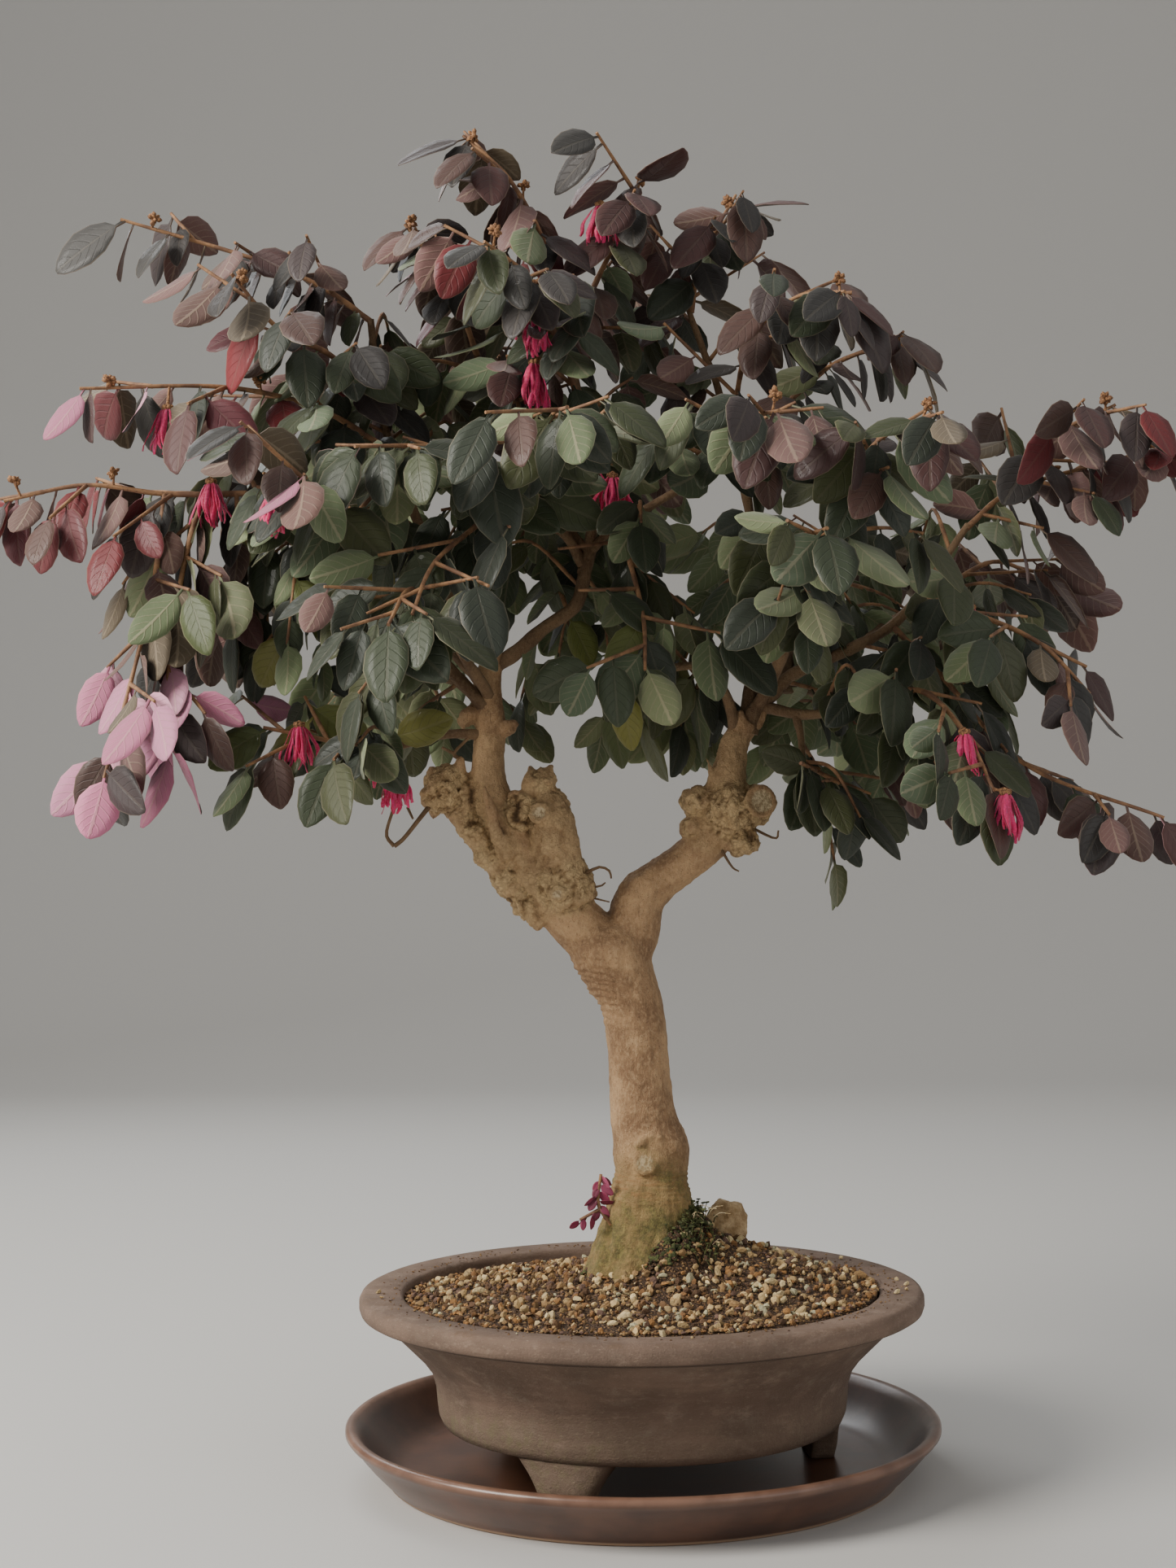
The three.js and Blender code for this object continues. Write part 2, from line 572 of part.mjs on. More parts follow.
// Blooms: the spray or branch they hang from, how far along it, and where each head stands from
// there or from the head before it
const blooms = {
  top: { on: "top_mid", share: 0.25, heads: [[-8, -8, 3]] },
  high: { on: "top_mid", share: 0.65, heads: [[-15, -7, 5]] },
  front: { on: "top_front", share: 0.45, heads: [[-5, -7, 0]] },
  front_low: { on: "top_front", share: 0.25, heads: [[-15, -10, -6]] },
  left: { on: "left_mid", share: 0.8, heads: [[0, -5, -12]] },
  left_stem: { on: "left_tip", share: 0.15, heads: [[2, -8, 5]] },
  left_front: { on: "left_front", share: 0.75, heads: [[-8, -4, -10]] },
  left_low: { on: "left_low", share: 0.1, heads: [[3, -9, 5], [11, 3, -15]] },
  left_end: { on: "left_low", share: 0.75, heads: [[3, -8, 4]] },
  inner: { on: "leader", share: 0.79, heads: [[-3, -13, 6]] },
  inner_low: { on: "leader", share: 0.75, heads: [[10, -15, 8]] },
  inner_high: { on: "leader", share: 0.83, heads: [[18, -9, 10]] },
  right: { on: "right_low", share: 0.62, heads: [[0, -7, -2]] },
  right_tip: { on: "right_low", share: 0.98, heads: [[5, -6, -2]] },
  right_mid: { on: "right_mid_low", share: 0.25, heads: [[3, -7, 0]] },
};

// A strap petal: a flat three-sided blade that droops from the head
function petal(head, angle, seed) {
  const outward = vector([Math.cos(angle), Math.sin(angle), 0]);
  const across = vector([-Math.sin(angle), Math.cos(angle), 0]).multiplyScalar(petalWidth / 2);
  const length = petalLength * (0.85 + 0.3 * draw(seed, 1));
  const spread = between(petalSpread, draw(seed, 2));
  const ring = (reach, drop, share) => {
    const centre = head.clone().addScaledVector(outward, reach).addScaledVector(up, -drop);
    return [
      centre.clone().addScaledVector(across, share),
      centre.clone().addScaledVector(across, -share),
      centre.clone().addScaledVector(outward, 0.9),
    ];
  };
  const tip = head.clone().addScaledVector(outward, spread * 0.8).addScaledVector(up, -length);
  const points = [...ring(1.5, 1, 0.5), ...ring(spread, length * 0.5, 1), tip];
  return solidFrom(points, [[0, 1, 2], [0, 4, 1], [0, 3, 4], [1, 5, 2], [1, 4, 5],
    [2, 3, 0], [2, 5, 3], [3, 6, 4], [4, 6, 5], [5, 6, 3]]);
}

function makeBloom(bloom, seed) {
  const line = bloom.on in sprays ? sprays[bloom.on].line : branchLines[bloom.on];
  let foot = curveThrough(line.map(vector)).getPoint(bloom.share);
  const parts = [];
  for (const [index, reach] of bloom.heads.entries()) {
    const head = foot.clone().add(vector(reach));
    const neck = head.clone().addScaledVector(up, 1.5);
    const mouth = head.clone().addScaledVector(up, -2.5);
    const stalk = [[...foot, stalkRadius], [...neck, 1.3 * stalkRadius], [...mouth, headRadius]];
    parts.push(tube(stalk, branchSides));
    for (let number = 0; number < petalsPerBloom; number += 1) {
      const angle = (2 * Math.PI * (number + index / 2)) / petalsPerBloom;
      parts.push(petal(head, angle, seed + 10 * index + number));
    }
    foot = head;
  }
  return join(parts);
}

// Basal shoot: a small sucker at the left of the root flare, [x, y, z, radius]
const shootLines = [
  [[-17, -8, 126, 1.2], [-25, -11, 137, 1], [-23, -12, 152, 0.8]],
  [[-24, -11, 134, 1], [-31, -13, 129, 0.8]],
];
const shootLeaves = [[0, 0.55, 1], [0, 0.8, -1], [0, 1, 0], [1, 0.6, 1], [1, 1, 0]]; // line, share, hand
const shootLeafLength = 11;

function makeShoot() {
  const parts = shootLines.map((line) => tube(line, stemSides));
  for (const [index, [line, share, hand]] of shootLeaves.entries()) {
    const curve = curveThrough(shootLines[line].map(vector));
    const root = curve.getPoint(share);
    const tangent = curve.getTangent(share);
    if (hand === 0) root.addScaledVector(tangent, -tipSink);
    parts.push(leafSolid(leafFrame(root, tangent, hand, index + 7, 0), shootLeafLength));
  }
  return wholeBody(join(parts).subtract(woodSpace));
}

// Stems first, so that every leaf can keep clear of them
const margin = gap / 2;
const wood = makeWood(0);
const woodSpace = makeWood(gap);
const stems = new Map(); // node name -> { tubes, solid }
const leafPlaces = []; // { node, root, tangent, hand, seed, below, foot }

for (const [index, [name, spray]] of Object.entries(sprays).entries()) {
  const node = `spray_${spray.from ?? name}`;
  const points = spray.line.map(vector);
  const curve = curveThrough(points);
  const seed = index * 1000;
  const addLeaf = (root, tangent, hand, leafSeed, foot) =>
    leafPlaces.push({ node, root, tangent, hand, seed: leafSeed, below: spray.below, foot });
  const count = Math.round(curve.getLength() / leafPitch);
  for (let leaf = leafStep - 1; leaf < count; leaf += leafStep) {
    const share = (leaf + 0.6) / count;
    addLeaf(tubeMiddle(points, share), curve.getTangent(share), leaf % 2 === 0 ? 1 : -1, seed + leaf);
  }
  const [beforeTip, tip] = points.slice(-2);
  const tipRoot = tip.clone().addScaledVector(tip.clone().sub(beforeTip).normalize(), -tipSink);
  addLeaf(tipRoot, curve.getTangent(1), 0, seed + 99);
  for (const number of shownTwigs) {
    const twigSeed = seed + 100 * (number + 1);
    const [foot, end] = twigLine(curve, number, twigSeed);
    const aim = end.clone().sub(foot).normalize();
    const root = end.addScaledVector(aim, -tipSink);
    addLeaf(root, aim, 0, twigSeed + 99, tubeMiddle(points, twigShare(number)));
  }
  const held = stems.get(node) ?? { tubes: [] };
  held.tubes.push(withRadii(points, stemRadii));
  stems.set(node, held);
}

const overlaps = (box, other) =>
  [0, 1, 2].every((axis) => box.min[axis] < other.max[axis] && other.min[axis] < box.max[axis]);

const placed = []; // { node, box, solid, space }
for (const [node, held] of stems) {
  const shape = (grown) => join(held.tubes.map((line) => tube(line, stemSides, grown)));
  let solid = shape(0).subtract(woodSpace);
  for (const other of placed) {
    if (overlaps(solid.boundingBox(), other.box)) solid = solid.subtract(other.space);
  }
  held.solid = wholeBody(solid);
  const space = shape(gap);
  placed.push({ node, box: space.boundingBox(), solid: held.solid, space });
}

for (const [index, [name, bloom]] of Object.entries(blooms).entries()) {
  let solid = makeBloom(bloom, index * 50).subtract(woodSpace);
  for (const other of placed) {
    if (overlaps(solid.boundingBox(), other.box)) solid = solid.subtract(other.space);
  }
  solid = wholeBody(solid);
  placed.push({ node: `bloom_${name}`, box: solid.boundingBox(), solid, space: solid });
}

// Leaves: each keeps its place, or turns a little, or is left out where it would cross another
const turns = [[0, 0], [0.35, 0.3], [-0.35, -0.3], [0.7, -0.4], [-0.7, 0.4], [0, 0.9]];
const leaves = [];

const isBare = (spot) => bareZones.some((zone) =>
  ["x", "y", "z"].every((axis) => zone[axis][0] < spot[axis] && spot[axis] < zone[axis][1]));

function isClear(solid, node) {
  const box = solid.boundingBox();
  const meets = (other) => overlaps(box, other.box) && !solid.intersect(other.solid).isEmpty();
  if (leaves.some(meets)) return false;
  if (placed.some((other) => other.node !== node && meets(other))) return false;
  return solid.intersect(woodSpace).isEmpty();
}

for (const place of leafPlaces) {
  const { root, tangent, foot } = place;
  const frame = leafFrame(root, tangent, place.hand, place.seed, place.below);
  const length = between(leafLength, draw(place.seed, 9));
  for (const [swing, roll] of turns) {
    const turned = {
      root,
      foot,
      axis: frame.axis.clone().applyAxisAngle(frame.normal, swing),
      normal: frame.normal.clone(),
    };
    turned.normal.applyAxisAngle(turned.axis, roll);
    if (isBare(root.clone().addScaledVector(turned.axis, length * 0.55))) continue;
    if (isClear(leafSolid(turned, length, margin), place.node)) {
      const solid = leafSolid(turned, length);
      leaves.push({ node: place.node, box: solid.boundingBox(), solid });
      break;
    }
  }
}

// The whole object
const tree = new THREE.Group();

function add(name, solid, color, roughness, metalness = 0) {
  const material = new THREE.MeshStandardMaterial({ color, roughness, metalness });
  const mesh = new THREE.Mesh(toGeometry(solid), material);
  mesh.name = name;
  tree.add(mesh);
}

const rock = lump(rockCentre, rockRadii, 5, 0.2);
const rockSpace = lump(rockCentre, rockRadii.map((radius) => radius + gap), 5, 0.2);
add("saucer", makeSaucer(), 0x40302a, 0.25);
add("pot", makePot(), 0x6a5544, 0.85);
add("drain_screen", makeScreen(), 0x1c1c1c, 0.6);
add("soil", makeSoil([woodSpace, rockSpace]), 0x674e36, 0.95);
add("rock", rock, 0x8a7454, 0.9);
add("tree_wood", wood, 0x8f7154, 0.8);
add("basal_shoot", makeShoot(), 0x9c4a5c, 0.6);
for (const { node, solid } of placed.filter((other) => other.node.startsWith("bloom"))) {
  add(node, solid, 0xc81a50, 0.55);
}
for (const [node, held] of stems) {
  const blades = leaves.filter((leaf) => leaf.node === node).map((leaf) => leaf.solid);
  add(node, wholeBody(join([held.solid, ...blades])), 0x4a3f35, 0.6);
}

export default tree;
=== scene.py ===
# A loropetalum bonsai in its clay pot and saucer: the looks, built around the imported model.
# Shapes are worked out in millimetres, and makePiece turns each finished one into metres.

import math
from random import Random

import bmesh
import bpy
from mathutils import Matrix, Vector, noise
from mathutils.bvhtree import BVHTree


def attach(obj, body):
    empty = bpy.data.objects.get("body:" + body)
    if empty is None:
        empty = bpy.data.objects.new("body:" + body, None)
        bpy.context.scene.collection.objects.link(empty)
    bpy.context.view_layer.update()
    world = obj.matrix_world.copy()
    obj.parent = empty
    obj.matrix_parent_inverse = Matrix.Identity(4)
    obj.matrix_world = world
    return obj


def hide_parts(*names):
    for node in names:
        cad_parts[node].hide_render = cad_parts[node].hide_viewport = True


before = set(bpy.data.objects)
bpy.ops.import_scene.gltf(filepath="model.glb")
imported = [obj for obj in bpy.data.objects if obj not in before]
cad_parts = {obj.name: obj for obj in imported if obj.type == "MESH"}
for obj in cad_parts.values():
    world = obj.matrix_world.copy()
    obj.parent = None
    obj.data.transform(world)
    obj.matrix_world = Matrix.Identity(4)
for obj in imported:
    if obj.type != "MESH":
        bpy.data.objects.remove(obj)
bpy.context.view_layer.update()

mm = 0.001
up = Vector((0, 0, 1))
# noise_vector takes its offsets from this seed. Without it they would come from the clock.
noise.seed_set(7)


# Seeded draws from 0 to 1, the same as in the part's own source
def draw(seed, index):
    value = math.sin(seed * 12.9898 + index * 78.233) * 43758.5453
    return value - math.floor(value)


def between(pair, share):
    return pair[0] + (pair[1] - pair[0]) * share


def ease(low, high, value):
    share = min(max((value - low) / (high - low), 0), 1)
    return share * share * (3 - 2 * share)


# 1 inside a band of four heights, eased to 0 on both sides of it
def inBand(band, value):
    return ease(band[0], band[1], value) * ease(band[3], band[2], value)


def mixed(first, second, share):
    return tuple(a + (b - a) * share for a, b in zip(first, second))


def lit(color, light):
    return (*(level * light for level in color[:3]), 1)


def scaled(point, factors):
    return Vector(a * b for a, b in zip(point, factors))


# How far a point lies from a middle, where 1 is the surface of an ellipsoid with these radii
def offsetShare(point, middle, radii):
    return Vector((a - b) / c for a, b, c in zip(point, middle, radii)).length


def around(angle, height=0):
    return Vector((math.cos(angle), math.sin(angle), height))


def randomWay(chance, lean=0):
    return Vector((chance.gauss(0, 1), chance.gauss(0, 1) + lean, chance.gauss(0, 1))).normalized()


def seatAt(spot, size, turn=Matrix.Identity(4)):
    return Matrix.Translation(spot) @ turn @ Matrix.Scale(size, 4)


# A colour given as it looks on screen, turned into the linear one that shaders use
def paint(red, green, blue):
    def linear(level):
        level /= 255
        return level / 12.92 if level <= 0.04045 else ((level + 0.055) / 1.055) ** 2.4
    return (linear(red), linear(green), linear(blue), 1)


# A smooth line through points, which may carry a radius as their fourth number
class Line:
    def __init__(self, points):
        self.points = [Vector(point) for point in points]

    def at(self, share):
        last = len(self.points) - 1
        place = min(max(share, 0), 1) * last
        first = min(int(place), last - 1)
        t = place - first
        a, b = self.points[first], self.points[first + 1]
        before = self.points[first - 1] if first > 0 else a * 2 - b
        after = self.points[first + 2] if first + 2 <= last else b * 2 - a
        leave, arrive = (b - before) * 0.5, (after - a) * 0.5
        bend = (b - a) * 3 - leave * 2 - arrive
        end = (a - b) * 2 + leave + arrive
        return a + leave * t + bend * (t * t) + end * (t * t * t)

    def tangent(self, share):
        step = 0.0001
        ahead = self.at(min(share + step, 1)).to_3d()
        return (ahead - self.at(max(share - step, 0)).to_3d()).normalized()

    def length(self):
        places = [self.at(step / 200).to_3d() for step in range(201)]
        return sum((b - a).length for a, b in zip(places, places[1:]))

    def sampled(self, pitch):
        steps = max(int(self.length() / pitch), 2)
        return [self.at(step / steps) for step in range(steps + 1)]


# Round tubes along lists of (x, y, z, radius), added to a bmesh
def addTubes(bm, lines, resolution, material=0):
    data = bpy.data.curves.new("tubes", "CURVE")
    data.dimensions = "3D"
    data.bevel_depth = 1
    data.bevel_resolution = resolution
    data.use_fill_caps = True
    for line in lines:
        spline = data.splines.new("POLY")
        spline.points.add(len(line) - 1)
        for point, given in zip(spline.points, line):
            point.co = (given[0], given[1], given[2], 1)
            point.radius = given[3]
    holder = bpy.data.objects.new("tubes", data)
    mesh = bpy.data.meshes.new_from_object(holder)
    before = len(bm.verts)
    faces = len(bm.faces)
    bm.from_mesh(mesh)
    bpy.data.objects.remove(holder)
    bpy.data.curves.remove(data)
    bpy.data.meshes.remove(mesh)
    bm.verts.ensure_lookup_table()
    bm.faces.ensure_lookup_table()
    for face in bm.faces[faces:]:
        face.material_index = material
    return bm.verts[before:]


def addBall(bm, detail, matrix=Matrix.Identity(4), radius=1):
    return bmesh.ops.create_icosphere(bm, subdivisions=detail, radius=radius, matrix=matrix)["verts"]


def setMaterial(verts, index):
    for face in {face for vert in verts for face in vert.link_faces}:
        face.material_index = index


def meshFrom(bm, name):
    mesh = bpy.data.meshes.new(name)
    bm.to_mesh(mesh)
    bm.free()
    return mesh


def dropMeshes(meshes):
    for mesh in meshes:
        bpy.data.meshes.remove(mesh)


def addObject(name, data):
    made = bpy.data.objects.new(name, data)
    bpy.context.scene.collection.objects.link(made)
    return made


# A copy of a finished small shape, placed by a matrix. One that has an underside takes two tints.
def addCopy(bm, shape, placing, tint=None, tints=None, under=None):
    before = len(bm.verts)
    bm.from_mesh(shape)
    bm.verts.ensure_lookup_table()
    for vert in bm.verts[before:]:
        vert.co = placing @ vert.co
        if tint:
            vert[tint] = tints[1] if under and vert[under] > 0.5 else tints[0]


def makePiece(name, bm, materials, replaced=(), smooth=True):
    bmesh.ops.transform(bm, matrix=Matrix.Scale(mm, 4), verts=bm.verts[:])
    for face in bm.faces:
        face.smooth = smooth
    mesh = meshFrom(bm, name)
    for material in materials:
        mesh.materials.append(material)
    piece = addObject(name, mesh)
    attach(piece, "root")
    if replaced:
        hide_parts(*replaced)


# Shader maths: an expression on values adds its Math nodes
class Value:
    def __init__(self, finish, socket):
        self.finish = finish
        self.socket = socket

    def math(self, operation, first, second):
        return self.finish.node("ShaderNodeMath", {"operation": operation}, {0: first, 1: second})

    def __add__(self, other):
        return self.math("ADD", self, other)

    def __radd__(self, other):
        return self.math("ADD", other, self)

    def __sub__(self, other):
        return self.math("SUBTRACT", self, other)

    def __rsub__(self, other):
        return self.math("SUBTRACT", other, self)

    def __mul__(self, other):
        return self.math("MULTIPLY", self, other)

    def fract(self):
        return self.math("FRACT", self, 0)

    def size(self):
        return self.math("ABSOLUTE", self, 0)

    # 0 below low, 1 above high, and eased between them
    def ease(self, low, high):
        settings = {"interpolation_type": "SMOOTHSTEP"}
        return self.finish.node("ShaderNodeMapRange", settings, {"Value": self, 1: low, 2: high})


class Finish:
    def __init__(self, name, **fixed):
        self.material = bpy.data.materials.new(name)
        self.material.use_nodes = True
        self.tree = self.material.node_tree
        self.shader = self.tree.nodes["Principled BSDF"]
        for socket, number in fixed.items():
            self.shader.inputs[socket.replace("_", " ")].default_value = number

    def node(self, kind, settings={}, inputs={}, output=0):
        made = self.tree.nodes.new(kind)
        for key, setting in settings.items():
            if key != "stops":
                setattr(made, key, setting)
                continue
            ramp = made.color_ramp.elements
            while len(ramp) < len(setting):
                ramp.new(0.5)
            for stop, (place, color) in zip(ramp, setting):
                stop.position = place
                stop.color = color
        for key, source in inputs.items():
            self.feed(made.inputs[key], source)
        return Value(self, made.outputs[output])

    def feed(self, socket, source):
        if isinstance(source, Value):
            self.tree.links.new(source.socket, socket)
        else:
            socket.default_value = source

    def place(self):
        return self.node("ShaderNodeTexCoord", output="Object")

    def stretched(self, scale):
        return self.node("ShaderNodeMapping", {}, {"Vector": self.place(), "Scale": scale})

    def noise(self, size, detail=3, roughness=0.5, vector=None):
        inputs = {"Vector": vector or self.place(), "Scale": 1 / (size * mm), "Detail": detail,
                  "Roughness": roughness}
        return self.node("ShaderNodeTexNoise", {}, inputs)

    def cells(self, size, feature="F1", output="Distance", vector=None):
        inputs = {"Vector": vector or self.place(), "Scale": 1 / (size * mm)}
        return self.node("ShaderNodeTexVoronoi", {"feature": feature}, inputs, output)

    def attribute(self, name, output="Fac"):
        return self.node("ShaderNodeAttribute", {"attribute_name": name}, {}, output)

    def mix(self, share, first, second, blend="MIX"):
        settings = {"data_type": "RGBA", "blend_type": blend}
        return self.node("ShaderNodeMix", settings, {0: share, 6: first, 7: second}, 2)

    def axis(self, vector, name):
        return self.node("ShaderNodeSeparateXYZ", {}, {0: vector}, name)

    def ramp(self, value, stops):
        return self.node("ShaderNodeValToRGB", {"stops": stops}, {0: value})

    def color(self, source):
        self.feed(self.shader.inputs["Base Color"], source)

    def roughness(self, source):
        self.feed(self.shader.inputs["Roughness"], source)

    def relief(self, height, depth, strength=1):
        inputs = {"Height": height, "Distance": depth * mm, "Strength": strength}
        bump = self.node("ShaderNodeBump", {}, inputs)
        self.feed(self.shader.inputs["Normal"], bump)


# Camera, light and a seamless paper sweep
studio = {
    "cameraPlace": (-0.025, -1.104, 0.2968),
    "pitch": 0.0505,
    "roll": 0.011,
    "lens": 48.57,
    "sensor": 36,
    "clip": 0.01,
    "sweepWidth": 14,
    "sweepFront": -4,
    "sweepBend": 2.1,
    "sweepRadius": 1.6,
    "sweepTop": 7,
    "bendSteps": 24,
    "lights": {
        "key": {"place": (-1.5, -0.75, 1.25), "size": 1.1, "power": 56, "color": (1, 0.965, 0.91)},
        "fill": {"place": (1.6, -1.5, 0.8), "size": 1.8, "power": 8, "color": (0.99, 0.98, 0.97)},
        "back": {"place": (-0.7, 1.3, 1.5), "size": 1.2, "power": 14, "color": (0.94, 0.97, 1)},
    },
    "lightAim": (0, 0, 0.36),
    "skyColor": (0.97, 0.965, 0.96, 1),
    "skyLevel": 0.46,
    "paper": (196, 194, 190),
}


def makeStudio():
    data = bpy.data.cameras.new("camera")
    data.lens = studio["lens"]
    data.sensor_width = studio["sensor"]
    data.sensor_fit = "AUTO"
    data.clip_start = studio["clip"]
    camera = addObject("camera", data)
    camera.location = studio["cameraPlace"]
    camera.rotation_euler = (math.pi / 2 + studio["pitch"], studio["roll"], 0)
    bpy.context.scene.camera = camera
    for name, setting in studio["lights"].items():
        light = bpy.data.lights.new(name, "AREA")
        light.shape = "DISK"
        light.size = setting["size"]
        light.energy = setting["power"]
        light.color = setting["color"]
        lamp = addObject(name, light)
        lamp.location = setting["place"]
        aim = Vector(studio["lightAim"]) - lamp.location
        lamp.rotation_euler = aim.to_track_quat("-Z", "Y").to_euler()
    world = bpy.data.worlds.new("sky")
    world.use_nodes = True
    background = world.node_tree.nodes["Background"]
    background.inputs["Color"].default_value = studio["skyColor"]
    background.inputs["Strength"].default_value = studio["skyLevel"]
    bpy.context.scene.world = world
    radius = studio["sweepRadius"]
    profile = [(studio["sweepFront"], 0)]
    for step in range(studio["bendSteps"] + 1):
        angle = math.pi / 2 * step / studio["bendSteps"]
        profile.append((studio["sweepBend"] + radius * math.sin(angle), radius * (1 - math.cos(angle))))
    profile.append((studio["sweepBend"] + radius, studio["sweepTop"]))
    bm = bmesh.new()
    half = studio["sweepWidth"] / 2
    sides = [[bm.verts.new((x, y, z)) for y, z in profile] for x in (-half, half)]
    for (a, b), (c, d) in zip(zip(sides[0], sides[0][1:]), zip(sides[1], sides[1][1:])):
        bm.faces.new((a, c, d, b)).smooth = True
    sweep = addObject("sweep", meshFrom(bm, "sweep"))
    finish = Finish("sweepPaper", Roughness=0.9)
    finish.color(paint(*studio["paper"]))
    sweep.data.materials.append(finish.material)


makeStudio()
print("studio made")


# Materials that several pieces share
def barkMaterial():
    finish = Finish("bark")
    rough = finish.attribute("burl")
    relief = finish.attribute("relief")
    moss = finish.attribute("moss")
    sawn = finish.attribute("sawn")
    broad = finish.noise(24, 5, 0.6)
    fine = finish.noise(1.6, 5, 0.6, finish.stretched((1, 1, 0.7)))
    speck = finish.noise(0.9, 3, 0.6)
    fissure = finish.noise(1.5, 5, 0.65, finish.stretched((1, 1, 0.22)))
    flakes = finish.cells(2.6, "DISTANCE_TO_EDGE")
    smoothSkin = finish.mix(broad.ease(0.36, 0.64), paint(132, 100, 70), paint(186, 150, 110))
    smoothSkin = finish.mix(fine.ease(0.42, 0.7) * 0.36, smoothSkin, paint(210, 180, 140))
    smoothSkin = finish.mix(fissure.ease(0.54, 0.7) * 0.45, smoothSkin, paint(104, 76, 52))
    smoothSkin = finish.mix(speck.ease(0.58, 0.7) * 0.6, smoothSkin, paint(92, 68, 48))
    # rust-coloured wrinkles that run across under the old pruning scar
    height = finish.axis(finish.place(), "Z")
    belt = height.ease(0.132, 0.14) * (1 - height.ease(0.149, 0.156))
    wrinkles = finish.noise(1.5, 4, 0.6, finish.stretched((0.12, 0.12, 1)))
    smoothSkin = finish.mix(belt * wrinkles.ease(0.46, 0.6) * 0.55, smoothSkin, paint(166, 98, 58))
    # burls are painted lighter where the bark stands high and darker where it sinks, and darker along the
    # cracks between flakes: painted highlight and painted shade
    burlSkin = finish.mix(relief.ease(0.1, 0.7), paint(132, 102, 66), paint(208, 178, 132))
    burlSkin = finish.mix(finish.noise(5, 4, 0.7).ease(0.5, 0.7) * 0.4, burlSkin, paint(158, 122, 76))
    burlSkin = finish.mix((1 - flakes.ease(0.02, 0.2)) * 0.25, burlSkin, paint(92, 68, 44))
    skin = finish.mix(rough, smoothSkin, burlSkin)
    # painted shade in the deepest cracks and folds
    skin = finish.mix((1 - relief).ease(0.74, 1) * 0.6, skin, paint(66, 48, 32))
    skin = finish.mix(sawn, skin, finish.mix(fine.ease(0.4, 0.6), paint(162, 138, 104), paint(214, 194, 158)))
    ochre = finish.mix(finish.noise(12, 5, 0.7).ease(0.4, 0.62), paint(132, 110, 64), paint(160, 134, 82))
    skin = finish.mix(moss.ease(0.15, 0.85) * 0.75, skin, ochre)
    crumb = finish.noise(1.8, 4, 0.7)
    skin = finish.mix(moss.ease(0.2, 0.9) * (1 - crumb).ease(0.54, 0.68) * 0.6, skin, paint(88, 72, 38))
    skin = finish.mix(moss.ease(0.2, 0.9) * crumb.ease(0.56, 0.7) * 0.5, skin, paint(192, 166, 106))
    green = finish.mix(finish.noise(2.4, 5, 0.75).ease(0.42, 0.6), paint(74, 76, 38), paint(124, 118, 62))
    patches = (finish.noise(13, 6, 0.75) + moss * 0.22).ease(0.56, 0.86)
    finish.color(finish.mix(moss.ease(0, 0.6) * patches * (1 - sawn) * 0.8, skin, green))
    finish.roughness(0.72 + fine * 0.2)
    crackle = rough * (flakes.ease(0, 0.3) * 0.4 + finish.noise(2.2, 5, 0.75) * 1.4)
    grain = fine * 0.7 + speck * 0.6 - fissure * 0.7 + finish.noise(0.45, 2) * 0.3
    grain = grain + belt * wrinkles + moss * crumb
    finish.relief(grain + crackle, 1.1, 0.85)
    return finish.material


def twigMaterial():
    finish = Finish("twigBark", Roughness=0.75)
    grain = finish.noise(1.4, 4, 0.6)
    skin = finish.mix(finish.noise(9, 3).ease(0.35, 0.65), paint(112, 80, 58), paint(158, 118, 82))
    finish.color(finish.mix(grain.ease(0.5, 0.75) * 0.6, skin, paint(74, 50, 38)))
    finish.relief(grain, 0.35, 0.8)
    return finish.material


# The blade's UV map runs along the leaf in x and across it in y
def leafMaterial(name, back):
    finish = Finish(name, Sheen_Weight=0.15 if back else 0.06, Sheen_Roughness=0.6,
                    Coat_Weight=0 if back else 0.06, Specular_IOR_Level=0.3 if back else 0.42)
    spot = finish.node("ShaderNodeUVMap", {"uv_map": "leafUv"})
    along = finish.axis(spot, "X")
    side = (finish.axis(spot, "Y") * 2 - 1).size()
    rib = 1 - (side * (1.25 - along)).ease(0.015, 0.07)
    branch = ((along - side * 0.2 - side * side * 0.08) * 7.5).fract() - 0.5
    vein = (1 - branch.size().ease(0.02, 0.13)) * (1 - side.ease(0.72, 0.98)) * (1 - along.ease(0.86, 0.97))
    net = finish.cells(1.9, "DISTANCE_TO_EDGE")
    mesh = 1 - net.ease(0.02, 0.12)
    tint = finish.attribute("tint", "Color")
    blotch = finish.noise(6, 3, 0.6)
    tone = finish.mix(blotch.ease(0.35, 0.7) * 0.35, tint, (0.5, 0.5, 0.5, 1), "OVERLAY")
    ridge = (vein * 0.75 + mesh * 0.18 + rib).ease(0, 1)
    pale = finish.mix(0.35, tint, paint(206, 186, 156))
    if back:
        lines = finish.mix(ridge * 0.4, tone, pale)
        lines = finish.mix(rib * 0.35, lines, pale)
    else:
        lines = finish.mix(ridge * 0.3, tone, finish.mix(0.4, tint, (0.012, 0.012, 0.01, 1)))
        lines = finish.mix(rib * 0.3, lines, finish.mix(0.16, tint, paint(190, 176, 150)))
    lines = finish.mix(side.ease(0.93, 1) * 0.5, lines, pale)
    dust = finish.noise(0.8, 2, 0.7).ease(0.6, 0.78)
    finish.color(finish.mix(dust * 0.1, lines, paint(172, 164, 146)))
    finish.roughness(0.5 + blotch * 0.16 if not back else 0.66 + blotch * 0.1)
    height = (ridge if back else 1 - ridge) + finish.noise(0.7, 3) * 0.25
    finish.relief(height, 0.4, 0.6)
    return finish.material


bark = barkMaterial()
twigBark = twigMaterial()
leafTop = leafMaterial("leafTop", False)
leafBack = leafMaterial("leafBack", True)
print("shared materials made")


